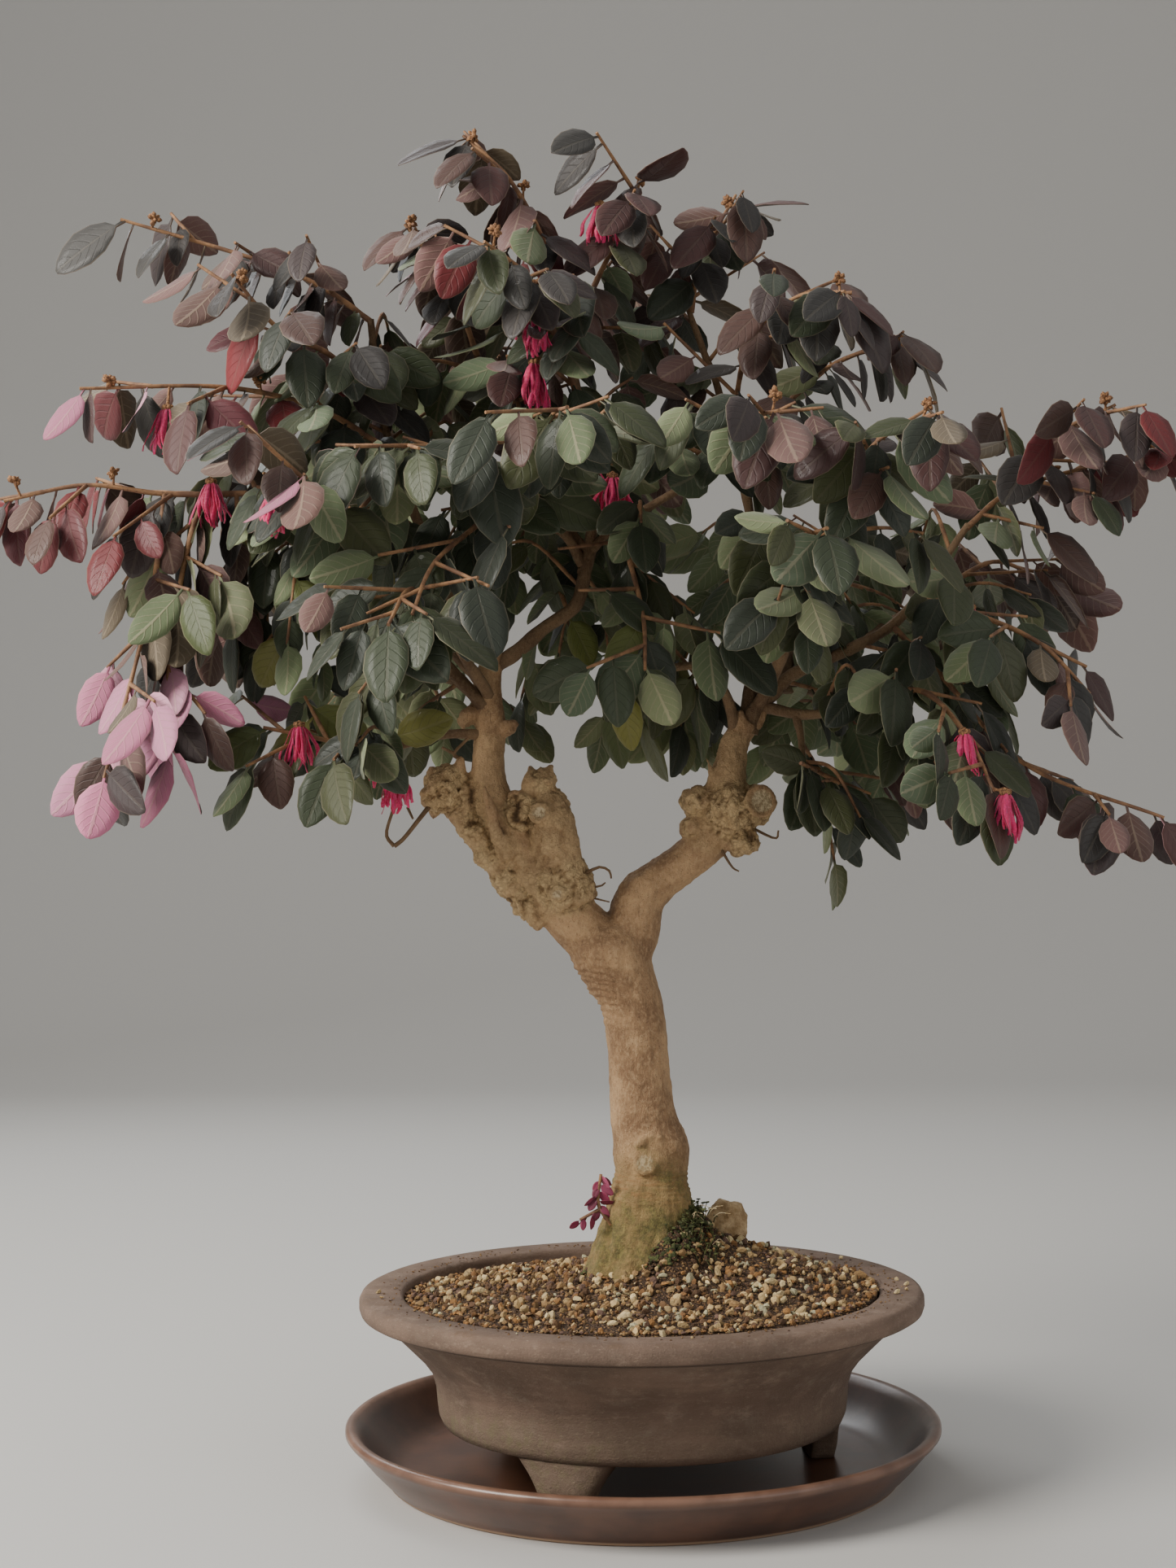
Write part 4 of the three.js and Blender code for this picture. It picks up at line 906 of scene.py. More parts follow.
# One leaf of unit length along y, its face towards z, with its own bend, cup and twist
def leafShape(kind):
    chance = Random(kind + 40)
    rows, columns = leafForm["rows"], leafForm["columns"]
    own = {key: chance.uniform(*pair) for key, pair in leafForm["varies"].items()}
    arch, fold = leafForm["arch"] * own["arch"], leafForm["fold"] * own["fold"]
    wide = leafForm["widthShare"] * own["wide"]
    bm = bmesh.new()
    uv = bm.loops.layers.uv.new("leafUv")
    under = bm.verts.layers.float.new("under")
    bmesh.ops.create_grid(bm, x_segments=columns, y_segments=len(rows) - 1, size=1)
    bmesh.ops.solidify(bm, geom=bm.faces[:], thickness=leafForm["thickness"])
    middle = sum(vert.co.z for vert in bm.verts) / len(bm.verts)
    for vert in bm.verts:
        vert[under] = 1 if vert.co.z < middle else 0
    for face in bm.faces:
        flat = abs(face.normal.z) > 0.5
        face.material_index = 2 if flat and face.calc_center_median().z < middle else 1
        for loop in face.loops:
            spot = loop.vert.co
            row = round((spot.y + 1) / 2 * (len(rows) - 1))
            loop[uv].uv = (rows[row], (spot.x + 1) / 2)
    for vert in bm.verts:
        row = round((vert.co.y + 1) / 2 * (len(rows) - 1))
        along, side = rows[row], vert.co.x
        half = leafHalf(along) * wide / 2 * (1 + own["lean"] * side)
        aside = side * half
        lift = (1 if vert.co.z > middle else -1) * leafForm["thickness"] / 2
        lift *= 1.8 if along < 0.2 else 1 - 0.6 * abs(side)
        rise = fold * abs(aside) - 0.5 * fold * aside * aside / 0.31
        rise += own["wave"] * math.sin(along * 11 + own["phase"] + side) * abs(side)
        turn = own["twist"] * along
        bend = math.sin(turn) * aside
        vert.co = Vector((aside * math.cos(turn) + own["sway"] * along * along, along,
                          lift + rise + bend - arch * along * along))
    if bm.calc_volume(signed=True) < 0:
        bmesh.ops.reverse_faces(bm, faces=bm.faces[:])
    return meshFrom(bm, "leafShape")


# Every second leaf or twig grows to the other side
def handOf(number):
    return 1 if number % 2 == 0 else -1


def outwardAt(root):
    return (root - Vector(leafForm["crownCentre"])).normalized()


def sideways(tangent, root):
    lift = up * 0.8 + outwardAt(root) * 0.6 + Vector((0.1, -0.35, 0))
    return tangent.cross(lift).normalized()


def twigLine(stem, number, seed):
    share = (number + 0.7) / (stemForm["twigs"] + 0.6)
    foot, tangent = stem.at(share), stem.tangent(share)
    aim = tangent * 0.6 + sideways(tangent, foot) * 0.8 * handOf(number)
    aim += Vector((draw(seed, 1) - 0.5, draw(seed, 2) - 0.5, draw(seed, 3) - 0.4)) * 0.6
    reach = between(stemForm["twigLength"], draw(seed, 4)) * (1 - 0.35 * share)
    return Line([foot, foot + aim.normalized() * reach])


def leafFrame(root, tangent, hand, seed, below):
    axis = tangent * (1 if hand == 0 else 0.45) + sideways(tangent, root) * 0.8 * hand
    axis -= up * between(leafForm["droop"], draw(seed, 1))
    axis += Vector((draw(seed, 2) - 0.5, draw(seed, 3) - 0.5, draw(seed, 4) - 0.5)) * 0.5
    axis.normalize()
    normal = outwardAt(root) * 0.5 + up * 0.35
    facing = leafForm["facing"]
    normal.y += facing["pull"] * min(max((root.y - facing["middle"]) / facing["reach"], -1), 1)
    normal += Vector((draw(seed, 5) - 0.5, draw(seed, 6) - 0.5, draw(seed, 7) - 0.5))
    if draw(seed, 8) < below:
        normal.negate()
    normal = (normal - axis * normal.dot(axis)).normalized()
    return axis, normal


# Where a leaf lies: from its own frame, with x across it, y along it and z out of its face
def placing(root, axis, normal, length):
    return seatAt(root, length, Matrix((axis.cross(normal), axis, normal)).transposed().to_4x4())


# Every leaf's place on every stem. The ones that the part's solids have come first.
def leafPlaces():
    shown, hidden, stems = [], [], {}
    for index, (name, spray) in enumerate(sprays.items()):
        node = "spray_" + spray.get("from", name)
        stem = Line(spray["line"])
        seed = index * 1000
        count = math.floor(stem.length() / stemForm["leafPitch"] + 0.5)
        stems.setdefault(node, []).append((stem, stemForm["stemRadii"]))
        for leaf in range(count):
            kept = leaf % stemForm["shownStep"] == stemForm["firstShown"]
            place = (node, stem, (leaf + 0.6) / count, handOf(leaf), seed + leaf, spray["below"])
            (shown if kept else hidden).append(place)
        shown.append((node, stem, 1, 0, seed + 99, spray["below"]))
        for number in range(stemForm["twigs"]):
            twigSeed = seed + 100 * (number + 1)
            twig = twigLine(stem, number, twigSeed)
            stems[node].append((twig, stemForm["twigRadii"]))
            for leaf in range(stemForm["twigLeaves"]):
                share = (leaf + 1) / (stemForm["twigLeaves"] + 0.6)
                hidden.append((node, twig, share, handOf(leaf), twigSeed + leaf, spray["below"]))
            kept = number in stemForm["shownTwigs"]
            (shown if kept else hidden).append((node, twig, 1, 0, twigSeed + 99, spray["below"]))
    for order, (twig, seed) in enumerate(innerTwigs()):
        node = "inner_twigs_" + str(order % inner["shades"] + 1)
        stems.setdefault(node, []).append((twig, inner["radii"]))
        count = int(twig.length() / inner["leafPitch"])
        for leaf in range(1, count):
            hidden.append((node, twig, (leaf + 0.4) / count, handOf(leaf), seed + leaf, inner["below"]))
        hidden.append((node, twig, 1, 0, seed + 30, inner["below"]))
    return shown + hidden, len(shown), stems


leafTurns = [(0, 0), (0.35, 0.3), (-0.35, -0.3), (0.7, -0.4), (-0.7, 0.4), (0, 0.9)]
bladeOutline = [(0.38, -1), (0.74, -0.78), (1, 0), (0.74, 0.78), (0.38, 1), (0.14, 0)]


# A rough blade, just to see which others a leaf would cross
def bladeProbe(root, axis, normal, length):
    across = normal.cross(axis)
    half = length * leafForm["widthShare"] / 2
    spots = []
    for along, side in bladeOutline:
        rise = leafForm["fold"] * abs(side) * half - leafForm["arch"] * along * along * length
        spots.append(root + axis * along * length + across * side * half + normal * rise)
    spots.append(root + axis * leafForm["middle"] * length - normal * leafForm["arch"] * 0.3 * length)
    return BVHTree.FromPolygons(spots, [(a, (a + 1) % 6, 6) for a in range(6)])


def inBox(spot, low, high):
    return all(a < b < c for a, b, c in zip(low, spot, high))


def isBare(spot):
    return any(inBox(spot, low, high) for low, high in bareZones)


def placeLeaves():
    places, shownCount, stems = leafPlaces()
    cells, leaves = {}, {}
    for order, (node, line, share, hand, seed, below) in enumerate(places):
        root, tangent = line.at(share), line.tangent(share)
        if hand == 0:
            root = root - tangent * leafForm["tipSink"]
        axis, normal = leafFrame(root, tangent, hand, seed, below)
        length = between(leafForm["length"], draw(seed, 9))
        if seed >= inner["seed"]:
            length *= inner["leafShare"]
        elif order >= shownCount:
            length *= leafForm["hiddenShare"]
        for swing, roll in leafTurns:
            turnedAxis = Matrix.Rotation(swing, 3, normal) @ axis
            turnedNormal = Matrix.Rotation(roll, 3, turnedAxis) @ normal
            middle = root + turnedAxis * length * leafForm["middle"]
            edgeOn = order >= shownCount and abs(turnedNormal.y) < leafForm["leastFacing"]
            if edgeOn or isBare(middle):
                continue
            home = tuple(math.floor(level / leafForm["cell"]) for level in middle)
            near = [other for x in (-1, 0, 1) for y in (-1, 0, 1) for z in (-1, 0, 1)
                    for other in cells.get((home[0] + x, home[1] + y, home[2] + z), [])]
            probe = bladeProbe(root, turnedAxis, turnedNormal, length)
            reach = leafForm["nearest"]
            if any((middle - spot).length < reach and probe.overlap(other) for spot, other in near):
                continue
            cells.setdefault(home, []).append((middle, probe))
            leaves.setdefault(node, []).append((root, turnedAxis, turnedNormal, length, seed))
            break
    return leaves, stems


# Colours of a leaf's face and back: purple where it is young and lit, green inside and below.
# Each leaf takes one colour of a list for its face and one for its back.
leafColours = {
    "youngFace": [paint(54, 42, 41), paint(70, 39, 36), paint(50, 48, 45), paint(74, 49, 41),
                  paint(45, 40, 37)],
    "oldFace": [paint(42, 51, 31), paint(53, 60, 31), paint(40, 47, 34), paint(62, 66, 34),
                paint(46, 55, 31)],
    "youngBack": [paint(98, 70, 62), paint(86, 66, 58), paint(110, 80, 74), paint(92, 80, 62),
                  paint(102, 72, 68)],
    "oldBack": [paint(98, 110, 76), paint(120, 130, 94), paint(84, 96, 64), paint(104, 110, 76),
                paint(90, 104, 76)],
    # pink backs: the pink is the leaves' own, their extra brightness a painted glow of light shining through
    "pinkBack": [paint(206, 134, 164), paint(188, 112, 140), paint(214, 152, 174)],
    "redFace": [paint(112, 30, 34), paint(96, 34, 38), paint(84, 34, 40)],
    "limeFace": [paint(86, 92, 38), paint(70, 80, 36), paint(104, 102, 40)],
    "stem": paint(132, 96, 68),
}
# The whole crown: its leaves are older towards its middle, and low down between its sides
crown = {
    "middle": (-15, 0, 450),
    "radii": (290, 240, 220),
    "old": (1, 0.62),
    "lowDown": (520, 420),
    "lowSides": (230, 130),
    "lowMiddle": -10,
    # boxes of younger leaves at the top, on the upper right and at the left end, and their age
    "young": [((-400, -400, 560), (400, 400, 900), 0.6), ((60, -400, 505), (400, 400, 900), 0.6),
              ((-400, -400, 0), (-190, 400, 900), 0.35)],
    "light": (0.75, 1.25),
}
# Parts of the crown with their own colours: its middle and radii, and the share of its leaves. The bright
# pink backs also carry a painted glow of light shining through the leaves.
leafZones = {
    "pinkBack": [((-255, -75, 372), (62, 70, 52), 0.9), ((-262, -70, 530), (36, 60, 36), 0.55),
                 ((-160, -120, 530), (34, 50, 45), 0.5), ((215, -60, 330), (60, 60, 36), 0.3)],
    "redFace": [((-300, -60, 480), (60, 60, 50), 0.85), ((-190, -80, 560), (70, 60, 50), 0.3),
                ((-90, -20, 640), (60, 60, 40), 0.3), ((270, 0, 520), (60, 60, 50), 0.3)],
    "limeFace": [((-60, 20, 404), (110, 90, 46), 0.4), ((-170, -60, 430), (60, 60, 60), 0.3)],
}


def zoneShare(kind, spot):
    best = 0
    for middle, radii, share in leafZones[kind]:
        best = max(best, share * ease(1.3, 0.8, offsetShare(spot, middle, radii)))
    return best


def leafTints(root, seed):
    age = ease(*crown["old"], offsetShare(root, crown["middle"], crown["radii"]))
    inside = ease(*crown["lowSides"], abs(root.x - crown["lowMiddle"]))
    age = max(age, ease(*crown["lowDown"], root.z) * inside)
    for low, high, share in crown["young"]:
        if inBox(root, low, high):
            age *= share
    face = "oldFace" if draw(seed, 11) < age else "youngFace"
    back = "oldBack" if draw(seed, 12) < age else "youngBack"
    for name in ("limeFace", "redFace"):
        if draw(seed, 15) < zoneShare(name, root):
            face = name
    if draw(seed, 16) < zoneShare("pinkBack", root):
        back = "pinkBack"
    light = between(crown["light"], draw(seed, 14))
    tints = []
    for name in (face, back):
        picks = leafColours[name]
        tints.append(lit(picks[int(draw(seed, 13) * len(picks))], light))
    return tints


# A bmesh with the layers that leaves need
def leafyMesh():
    bm = bmesh.new()
    tint = bm.verts.layers.float_color.new("tint")
    under = bm.verts.layers.float.new("under")
    bm.loops.layers.uv.new("leafUv")
    return bm, tint, under


def makeSprays():
    leaves, stems = placeLeaves()
    shapes = [leafShape(kind) for kind in range(leafForm["kinds"])]
    for node, lines in stems.items():
        bm, tint, under = leafyMesh()
        tubes = []
        for line, radii in lines:
            spots = line.sampled(stemForm["pitch"])
            for step, spot in enumerate(spots):
                share = step / (len(spots) - 1)
                knot = 1 + stemForm["knots"] * noise.noise(Vector(spot[:3]) / 5)
                spots[step] = Vector((*spot[:3], between(radii, share) * knot))
            tubes.append(spots)
        for vert in addTubes(bm, tubes, 1):
            vert[tint] = leafColours["stem"]
        for root, axis, normal, length, seed in leaves.get(node, []):
            shape = shapes[int(draw(seed, 10) * len(shapes))]
            addCopy(bm, shape, placing(root, axis, normal, length), tint, leafTints(root, seed), under)
        kept = [node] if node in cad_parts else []
        makePiece(node + "_leafy", bm, [twigBark, leafTop, leafBack], kept)
    print("leaves", sum(len(found) for found in leaves.values()))
    dropMeshes(shapes)


# Short inner twigs that fill the crown along its bare branches
inner = {
    "pitch": 21,
    "start": 0.3,
    "reach": (34, 74),
    "hang": (0.1, 0.6),
    "leafPitch": 8,
    "leafShare": 0.82,
    "below": 0.25,
    "seed": 50000,
    "radii": (1.3, 0.7),
    "shades": 4,
    # twigs that hang behind the fork
    "curtain": [
        [(-31, 0, 446), (-36, 25, 440), (-42, 46, 412)],
        [(-49, 0, 433), (-52, 22, 428), (-60, 42, 402)],
        [(-43, 8, 504), (-58, 34, 490), (-72, 56, 462)],
        [(-25, 0, 462), (-16, 26, 452), (-12, 42, 420)],
        [(-24, 18, 481), (-30, 40, 470), (-40, 70, 424)],
        [(-22, 36, 498), (-6, 54, 480), (4, 66, 424)],
        [(-92, 40, 408), (-76, 54, 406), (-60, 60, 392)],
        [(0, -26, 409), (-8, -6, 402), (-16, 20, 388)],
        [(14, -20, 410), (12, 6, 404), (4, 30, 386)],
        [(36, -12, 412), (34, 12, 404), (26, 38, 384)],
        [(-19, 75, 526), (-30, 92, 488), (-36, 96, 440)],
        [(64, 20, 470), (44, 44, 456), (30, 56, 424)],
        [(-150, -34, 474), (-158, -20, 452), (-162, -10, 414)],
        [(-180, -42, 494), (-186, -26, 470), (-190, -16, 426)],
        [(-165, -40, 488), (-168, -58, 462), (-172, -66, 420)],
        [(-200, -46, 499), (-202, -30, 472), (-206, -20, 430)],
    ],
}


def innerTwigs():
    twigs = []
    for number, line in enumerate(branchLines.values()):
        stem = Line([point[:3] for point in line])
        count = max(int(stem.length() * (1 - inner["start"]) / inner["pitch"]), 2)
        for step in range(count):
            seed = inner["seed"] + number * 1000 + step * 40
            share = inner["start"] + (1 - inner["start"]) * (step + 0.5) / count
            foot, tangent = stem.at(share), stem.tangent(share)
            side = tangent.orthogonal().normalized()
            side = Matrix.Rotation(step * 2.4 + number, 3, tangent) @ side
            aim = (tangent * 0.35 + side + outwardAt(foot) * 0.3 + up * 0.1).normalized()
            reach = between(inner["reach"], draw(seed, 1))
            drop = reach * between(inner["hang"], draw(seed, 2))
            middle = foot + aim * reach * 0.55
            end = foot + aim * reach - up * drop
            if isBare(end) or isBare(middle):
                continue
            twigs.append((Line([foot, middle, end]), seed))
    for number, line in enumerate(inner["curtain"]):
        twigs.append((Line(line), inner["seed"] + 30000 + number * 40))
    return twigs


# Blooms: the spray or branch they hang from, how far along it, and where each head stands
blooms = {
    "top": {"on": "top_mid", "share": 0.25, "heads": [(-8, -8, 3)]},
    "high": {"on": "top_mid", "share": 0.65, "heads": [(-15, -7, 5)]},
    "front": {"on": "top_front", "share": 0.45, "heads": [(-5, -7, 0)]},
    "front_low": {"on": "top_front", "share": 0.25, "heads": [(-15, -10, -6)]},
    "left": {"on": "left_mid", "share": 0.8, "heads": [(0, -5, -12)]},
    "left_stem": {"on": "left_tip", "share": 0.15, "heads": [(2, -8, 5)]},
    "left_front": {"on": "left_front", "share": 0.75, "heads": [(-8, -4, -10)]},
    "left_low": {"on": "left_low", "share": 0.1, "heads": [(3, -9, 5), (11, 3, -15)]},
    "left_end": {"on": "left_low", "share": 0.75, "heads": [(3, -8, 4)]},
    "inner": {"on": "leader", "share": 0.79, "heads": [(-3, -13, 6)]},
    "inner_low": {"on": "leader", "share": 0.75, "heads": [(10, -15, 8)]},
    "inner_high": {"on": "leader", "share": 0.83, "heads": [(18, -9, 10)]},
    "right": {"on": "right_low", "share": 0.62, "heads": [(0, -7, -2)]},
    "right_tip": {"on": "right_low", "share": 0.98, "heads": [(5, -6, -2)]},
    "right_mid": {"on": "right_mid_low", "share": 0.25, "heads": [(3, -7, 0)]},
}
bloomForm = {
    "straps": 24,
    "length": (17, 25),
    "width": 2.3,
    "spread": (0.1, 0.36),
    "thickness": 0.012,
    "kinds": 8,
    "steps": 8,
    "colors": (paint(216, 20, 100), paint(186, 14, 70)),
    "light": (0.7, 1.2),
    # the cup's buds and the straps' feet: how far out and down they sit, and how they lean
    "cup": {"buds": 6, "reach": 1.5, "drop": -0.4, "tilt": 0.5, "size": 1.3, "stretch": 1.7},
    "feet": {"turn": 2.4, "stray": 0.4, "reach": (0.6, 1.8), "drop": -0.8, "tilt": (-0.25, 0.2)},
}


# One strap petal of unit length, hanging from its head and crinkled along the way
def strapShape(kind):
    chance = Random(kind + 90)
    spread = chance.uniform(*bloomForm["spread"])
    waves = [(chance.uniform(0.02, 0.07), chance.uniform(4, 9), chance.uniform(0, 6)) for axis in range(2)]
    twist, phase = chance.uniform(-2.4, 2.4), chance.uniform(0, 3)
    bm = bmesh.new()
    bmesh.ops.create_grid(bm, x_segments=1, y_segments=bloomForm["steps"], size=1)
    bmesh.ops.solidify(bm, geom=bm.faces[:], thickness=bloomForm["thickness"])
    middle = sum(vert.co.z for vert in bm.verts) / len(bm.verts)
    for vert in bm.verts:
        along = (vert.co.y + 1) / 2
        half = bloomForm["width"] / 42 * (0.4 + 0.6 * ease(0, 0.4, along)) * (1 - 0.55 * ease(0.8, 1, along))
        turn = phase + twist * along
        side = Vector((math.sin(turn) * 0.5, math.cos(turn), 0)).normalized()
        face = Vector((side.y, -side.x, 0.2)).normalized()
        bends = [size * math.sin(pace * along + start) * along for size, pace, start in waves]
        spot = Vector((spread * (1 - (1 - along) ** 2.2) + bends[0], bends[1],
                       0.1 * math.sin(math.pi * min(along * 2.5, 1)) - 0.93 * along))
        lift = bloomForm["thickness"] / 2 * (1 if vert.co.z > middle else -1)
        vert.co = spot + side * half * vert.co.x + face * lift
    if bm.calc_volume(signed=True) < 0:
        bmesh.ops.reverse_faces(bm, faces=bm.faces[:])
    return meshFrom(bm, "strapShape")


def petalMaterial():
    finish = Finish("petal", Roughness=0.55, Sheen_Weight=0.3, Subsurface_Weight=0.15,
                    Subsurface_Scale=0.002)
    tint = finish.attribute("tint", "Color")
    streak = finish.noise(1.1, 3, 0.6)
    finish.color(finish.mix(streak.ease(0.4, 0.7) * 0.4, tint, paint(240, 84, 150)))
    finish.relief(streak, 0.3, 0.6)
    return finish.material


def budMaterial():
    finish = Finish("driedHead", Roughness=0.85)
    grain = finish.noise(0.9, 4, 0.6)
    finish.color(finish.mix(grain.ease(0.35, 0.65), paint(92, 58, 38), paint(168, 124, 84)))
    finish.relief(grain, 0.4, 0.9)
    return finish.material


petal = petalMaterial()
driedHead = budMaterial()


def addCrumbs(bm, centre, reach, size, count, chance):
    for crumb in range(count):
        way = randomWay(chance)
        turn = way.to_track_quat("Z", "Y").to_matrix().to_4x4()
        shape = Matrix.Diagonal((size, size, size * 1.7, 1))
        addBall(bm, 1, Matrix.Translation(centre + way * reach) @ turn @ shape, chance.uniform(0.7, 1.2))


def tilted(angle, tilt):
    return Matrix.Rotation(angle, 4, "Z") @ Matrix.Rotation(tilt, 4, "Y")


def makeBlooms():
    shapes = [strapShape(kind) for kind in range(bloomForm["kinds"])]
    cup, feet = bloomForm["cup"], bloomForm["feet"]
    budShape = Matrix.Diagonal((1, 1, cup["stretch"], 1))
    for index, (name, bloom) in enumerate(blooms.items()):
        chance = Random(index + 300)
        bm = bmesh.new()
        tint = bm.verts.layers.float_color.new("tint")
        source = sprays[bloom["on"]]["line"] if bloom["on"] in sprays else branchLines[bloom["on"]]
        foot = Line([point[:3] for point in source]).at(bloom["share"])
        for reach in bloom["heads"]:
            head = foot + Vector(reach)
            stalk = [(*foot, 0.8), (*foot.lerp(head, 0.5), 0.75), (*(head + up * 1.5), 1),
                     (*(head - up), 1.4)]
            addTubes(bm, [Line(stalk).sampled(1.5)], 1, 1)
            for bud in range(cup["buds"]):
                angle = 2 * math.pi * bud / cup["buds"]
                seat = Matrix.Translation(head + around(angle, cup["drop"]) * cup["reach"])
                made = addBall(bm, 2, seat @ tilted(angle, cup["tilt"]) @ budShape, cup["size"])
                setMaterial(made, 1)
            for strap in range(bloomForm["straps"]):
                angle = strap * feet["turn"] + chance.uniform(-feet["stray"], feet["stray"])
                length = chance.uniform(*bloomForm["length"])
                spot = head + around(angle, feet["drop"]) * chance.uniform(*feet["reach"])
                turn = tilted(angle, chance.uniform(*feet["tilt"]))
                light = chance.uniform(*bloomForm["light"])
                shade = mixed(*bloomForm["colors"], chance.random())
                addCopy(bm, chance.choice(shapes), seatAt(spot, length, turn), tint, [lit(shade, light)])
            foot = head
        makePiece("bloom_" + name + "_petals", bm, [petal, driedHead], ["bloom_" + name])
    dropMeshes(shapes)


makeSprays()
print("sprays made")
makeBlooms()
print("blooms made")

# Dried flower heads left at the ends of shoots
driedHeads = {
    "on": ["top_left", "top_mid", "top_right", "right_high", "right_shoulder", "right_far",
           "right_crest", "right_mid", "left_high", "top_side", "left_mid", "left_up", "left_tip",
           "front_right", "top_front"],
    "shares": (0.55, 0.93),
    "height": (3, 8),
    "size": 1.3,
    "reach": 2,
    "crumbs": 13,
}


def makeDriedHeads():
    chance = Random(17)
    bm = bmesh.new()
    for name in driedHeads["on"]:
        stem = Line(sprays[name]["line"])
        for share in driedHeads["shares"]:
            foot = stem.at(share)
            x, y = chance.uniform(-3, 3), chance.uniform(-5, 0)
            head = foot + Vector((x, y, chance.uniform(*driedHeads["height"])))
            addTubes(bm, [[(*foot, 0.7), (*foot.lerp(head, 0.5), 0.6), (*head, 0.8)]], 1)
            addCrumbs(bm, head, driedHeads["reach"], driedHeads["size"], driedHeads["crumbs"], chance)
    makePiece("dried_flower_heads", bm, [driedHead])


makeDriedHeads()
print("dried flower heads made")


# Clay pot: a thrown bowl with a wide flat rim, on three feet
pot = {
    "outside": [(12, 27), (99, 27), (102.5, 28.2), (104.2, 32), (105, 38), (105.7, 46), (108.2, 54),
                (113.5, 61), (120.5, 68), (127, 74.4), (131.4, 78.2), (135.6, 80.6), (138.6, 81.6),
                (139.4, 82), (139, 82.7), (139.6, 83.2), (142.4, 83), (144, 84), (144.8, 86.5), (144.7, 90),
                (143.6, 92.2), (141.4, 93.2), (132, 93), (124.4, 92.6), (122.6, 91.6), (122, 89.5)],
    "inside": [(122, 84), (120, 77), (106, 63), (97, 48), (92, 36), (12, 36)],
    "steps": 160,
    "feet": 3,
    "footTurn": -24,
    "footRadius": 94,
    "footTop": 52,
    "footBottom": 25,
    "footDepth": 17,
    "footWaist": 1.6,
    "footCuts": 9,
    "footRounding": (0.06, 0.12),
    # how far the hand-thrown wall strays, as size and depth of its waves
    "wobble": [(60, 0.35), (11, 0.12)],
    "underside": 27,
    "saucerFloor": 4.5,
    "gap": 0.3,
}


def addSpun(bm, profile, steps, closed=True):
    verts = [bm.verts.new((radius, 0, height)) for radius, height in profile]
    pairs = list(zip(verts, verts[1:] + verts[:1])) if closed else list(zip(verts, verts[1:]))
    edges = [bm.edges.new(pair) for pair in pairs]
    bmesh.ops.spin(bm, geom=verts + edges, cent=(0, 0, 0), axis=(0, 0, 1), angle=2 * math.pi,
                   steps=steps, use_merge=True)
    bmesh.ops.remove_doubles(bm, verts=bm.verts[:], dist=0.01)
    bmesh.ops.recalc_face_normals(bm, faces=bm.faces[:])


def clayMaterial():
    finish = Finish("potClay")
    spot = finish.place()
    height = finish.axis(spot, "Z")
    side = finish.axis(spot, "X")
    broad = finish.noise(38, 4, 0.55)
    turned = finish.noise(9, 3, 0.5, finish.stretched((0.25, 0.25, 2.4)))
    grit = finish.noise(0.9, 3, 0.6)
    clay = finish.mix(broad.ease(0.35, 0.68), paint(101, 82, 69), paint(123, 101, 86))
    clay = finish.mix(turned.ease(0.35, 0.7) * 0.3, clay, paint(84, 68, 56))
    scuff = finish.noise(11, 6, 0.8, finish.stretched((0.5, 0.5, 1.2)))
    clay = finish.mix(scuff.ease(0.54, 0.66) * 0.35, clay, paint(151, 130, 114))
    # pale lime left by water under the rim, in the waist and near the foot
    damp = finish.noise(14, 6, 0.72)
    band = height.ease(0.044, 0.056) * (1 - height.ease(0.07, 0.082))
    clay = finish.mix(damp.ease(0.5, 0.72) * (0.16 + band * 0.2), clay, paint(148, 136, 120))
    low = 1 - height.ease(0.036, 0.054)
    clay = finish.mix(finish.noise(6, 6, 0.75).ease(0.48, 0.7) * low * 0.3, clay, paint(144, 128, 106))
    algae = low * (1 - side.ease(-0.06, 0.02)) * finish.noise(8, 5, 0.7).ease(0.45, 0.66)
    clay = finish.mix(algae * 0.5, clay, paint(106, 104, 66))
    clay = finish.mix(low * 0.3, clay, paint(116, 99, 81))
    scratches = finish.noise(2.4, 4, 0.8, finish.stretched((1, 1, 3)))
    clay = finish.mix(scratches.ease(0.56, 0.7) * 0.45, clay, paint(158, 140, 118))
    clay = finish.mix((1 - scratches).ease(0.58, 0.72) * 0.42, clay, paint(76, 60, 48))
    # a thin dark band in the groove under the rim: painted shade
    line = height.ease(0.0812, 0.082) * (1 - height.ease(0.0832, 0.084))
    clay = finish.mix(line * 0.6, clay, paint(58, 45, 36))
    rimTop = height.ease(0.0905, 0.0925)
    clay = finish.mix(rimTop * finish.noise(10, 5, 0.7).ease(0.46, 0.7) * 0.6, clay, paint(96, 74, 55))
    clay = finish.mix(finish.noise(2.2, 4, 0.7).ease(0.68, 0.78) * 0.55, clay, paint(178, 166, 148))
    finish.color(finish.mix(grit.ease(0.62, 0.75) * 0.35, clay, paint(70, 56, 46)))
    finish.roughness(0.78 + broad * 0.16)
    finish.relief(grit * 0.7 + turned * 0.7 + finish.noise(2.4, 5, 0.7) * 0.9, 0.5, 0.8)
    return finish.material


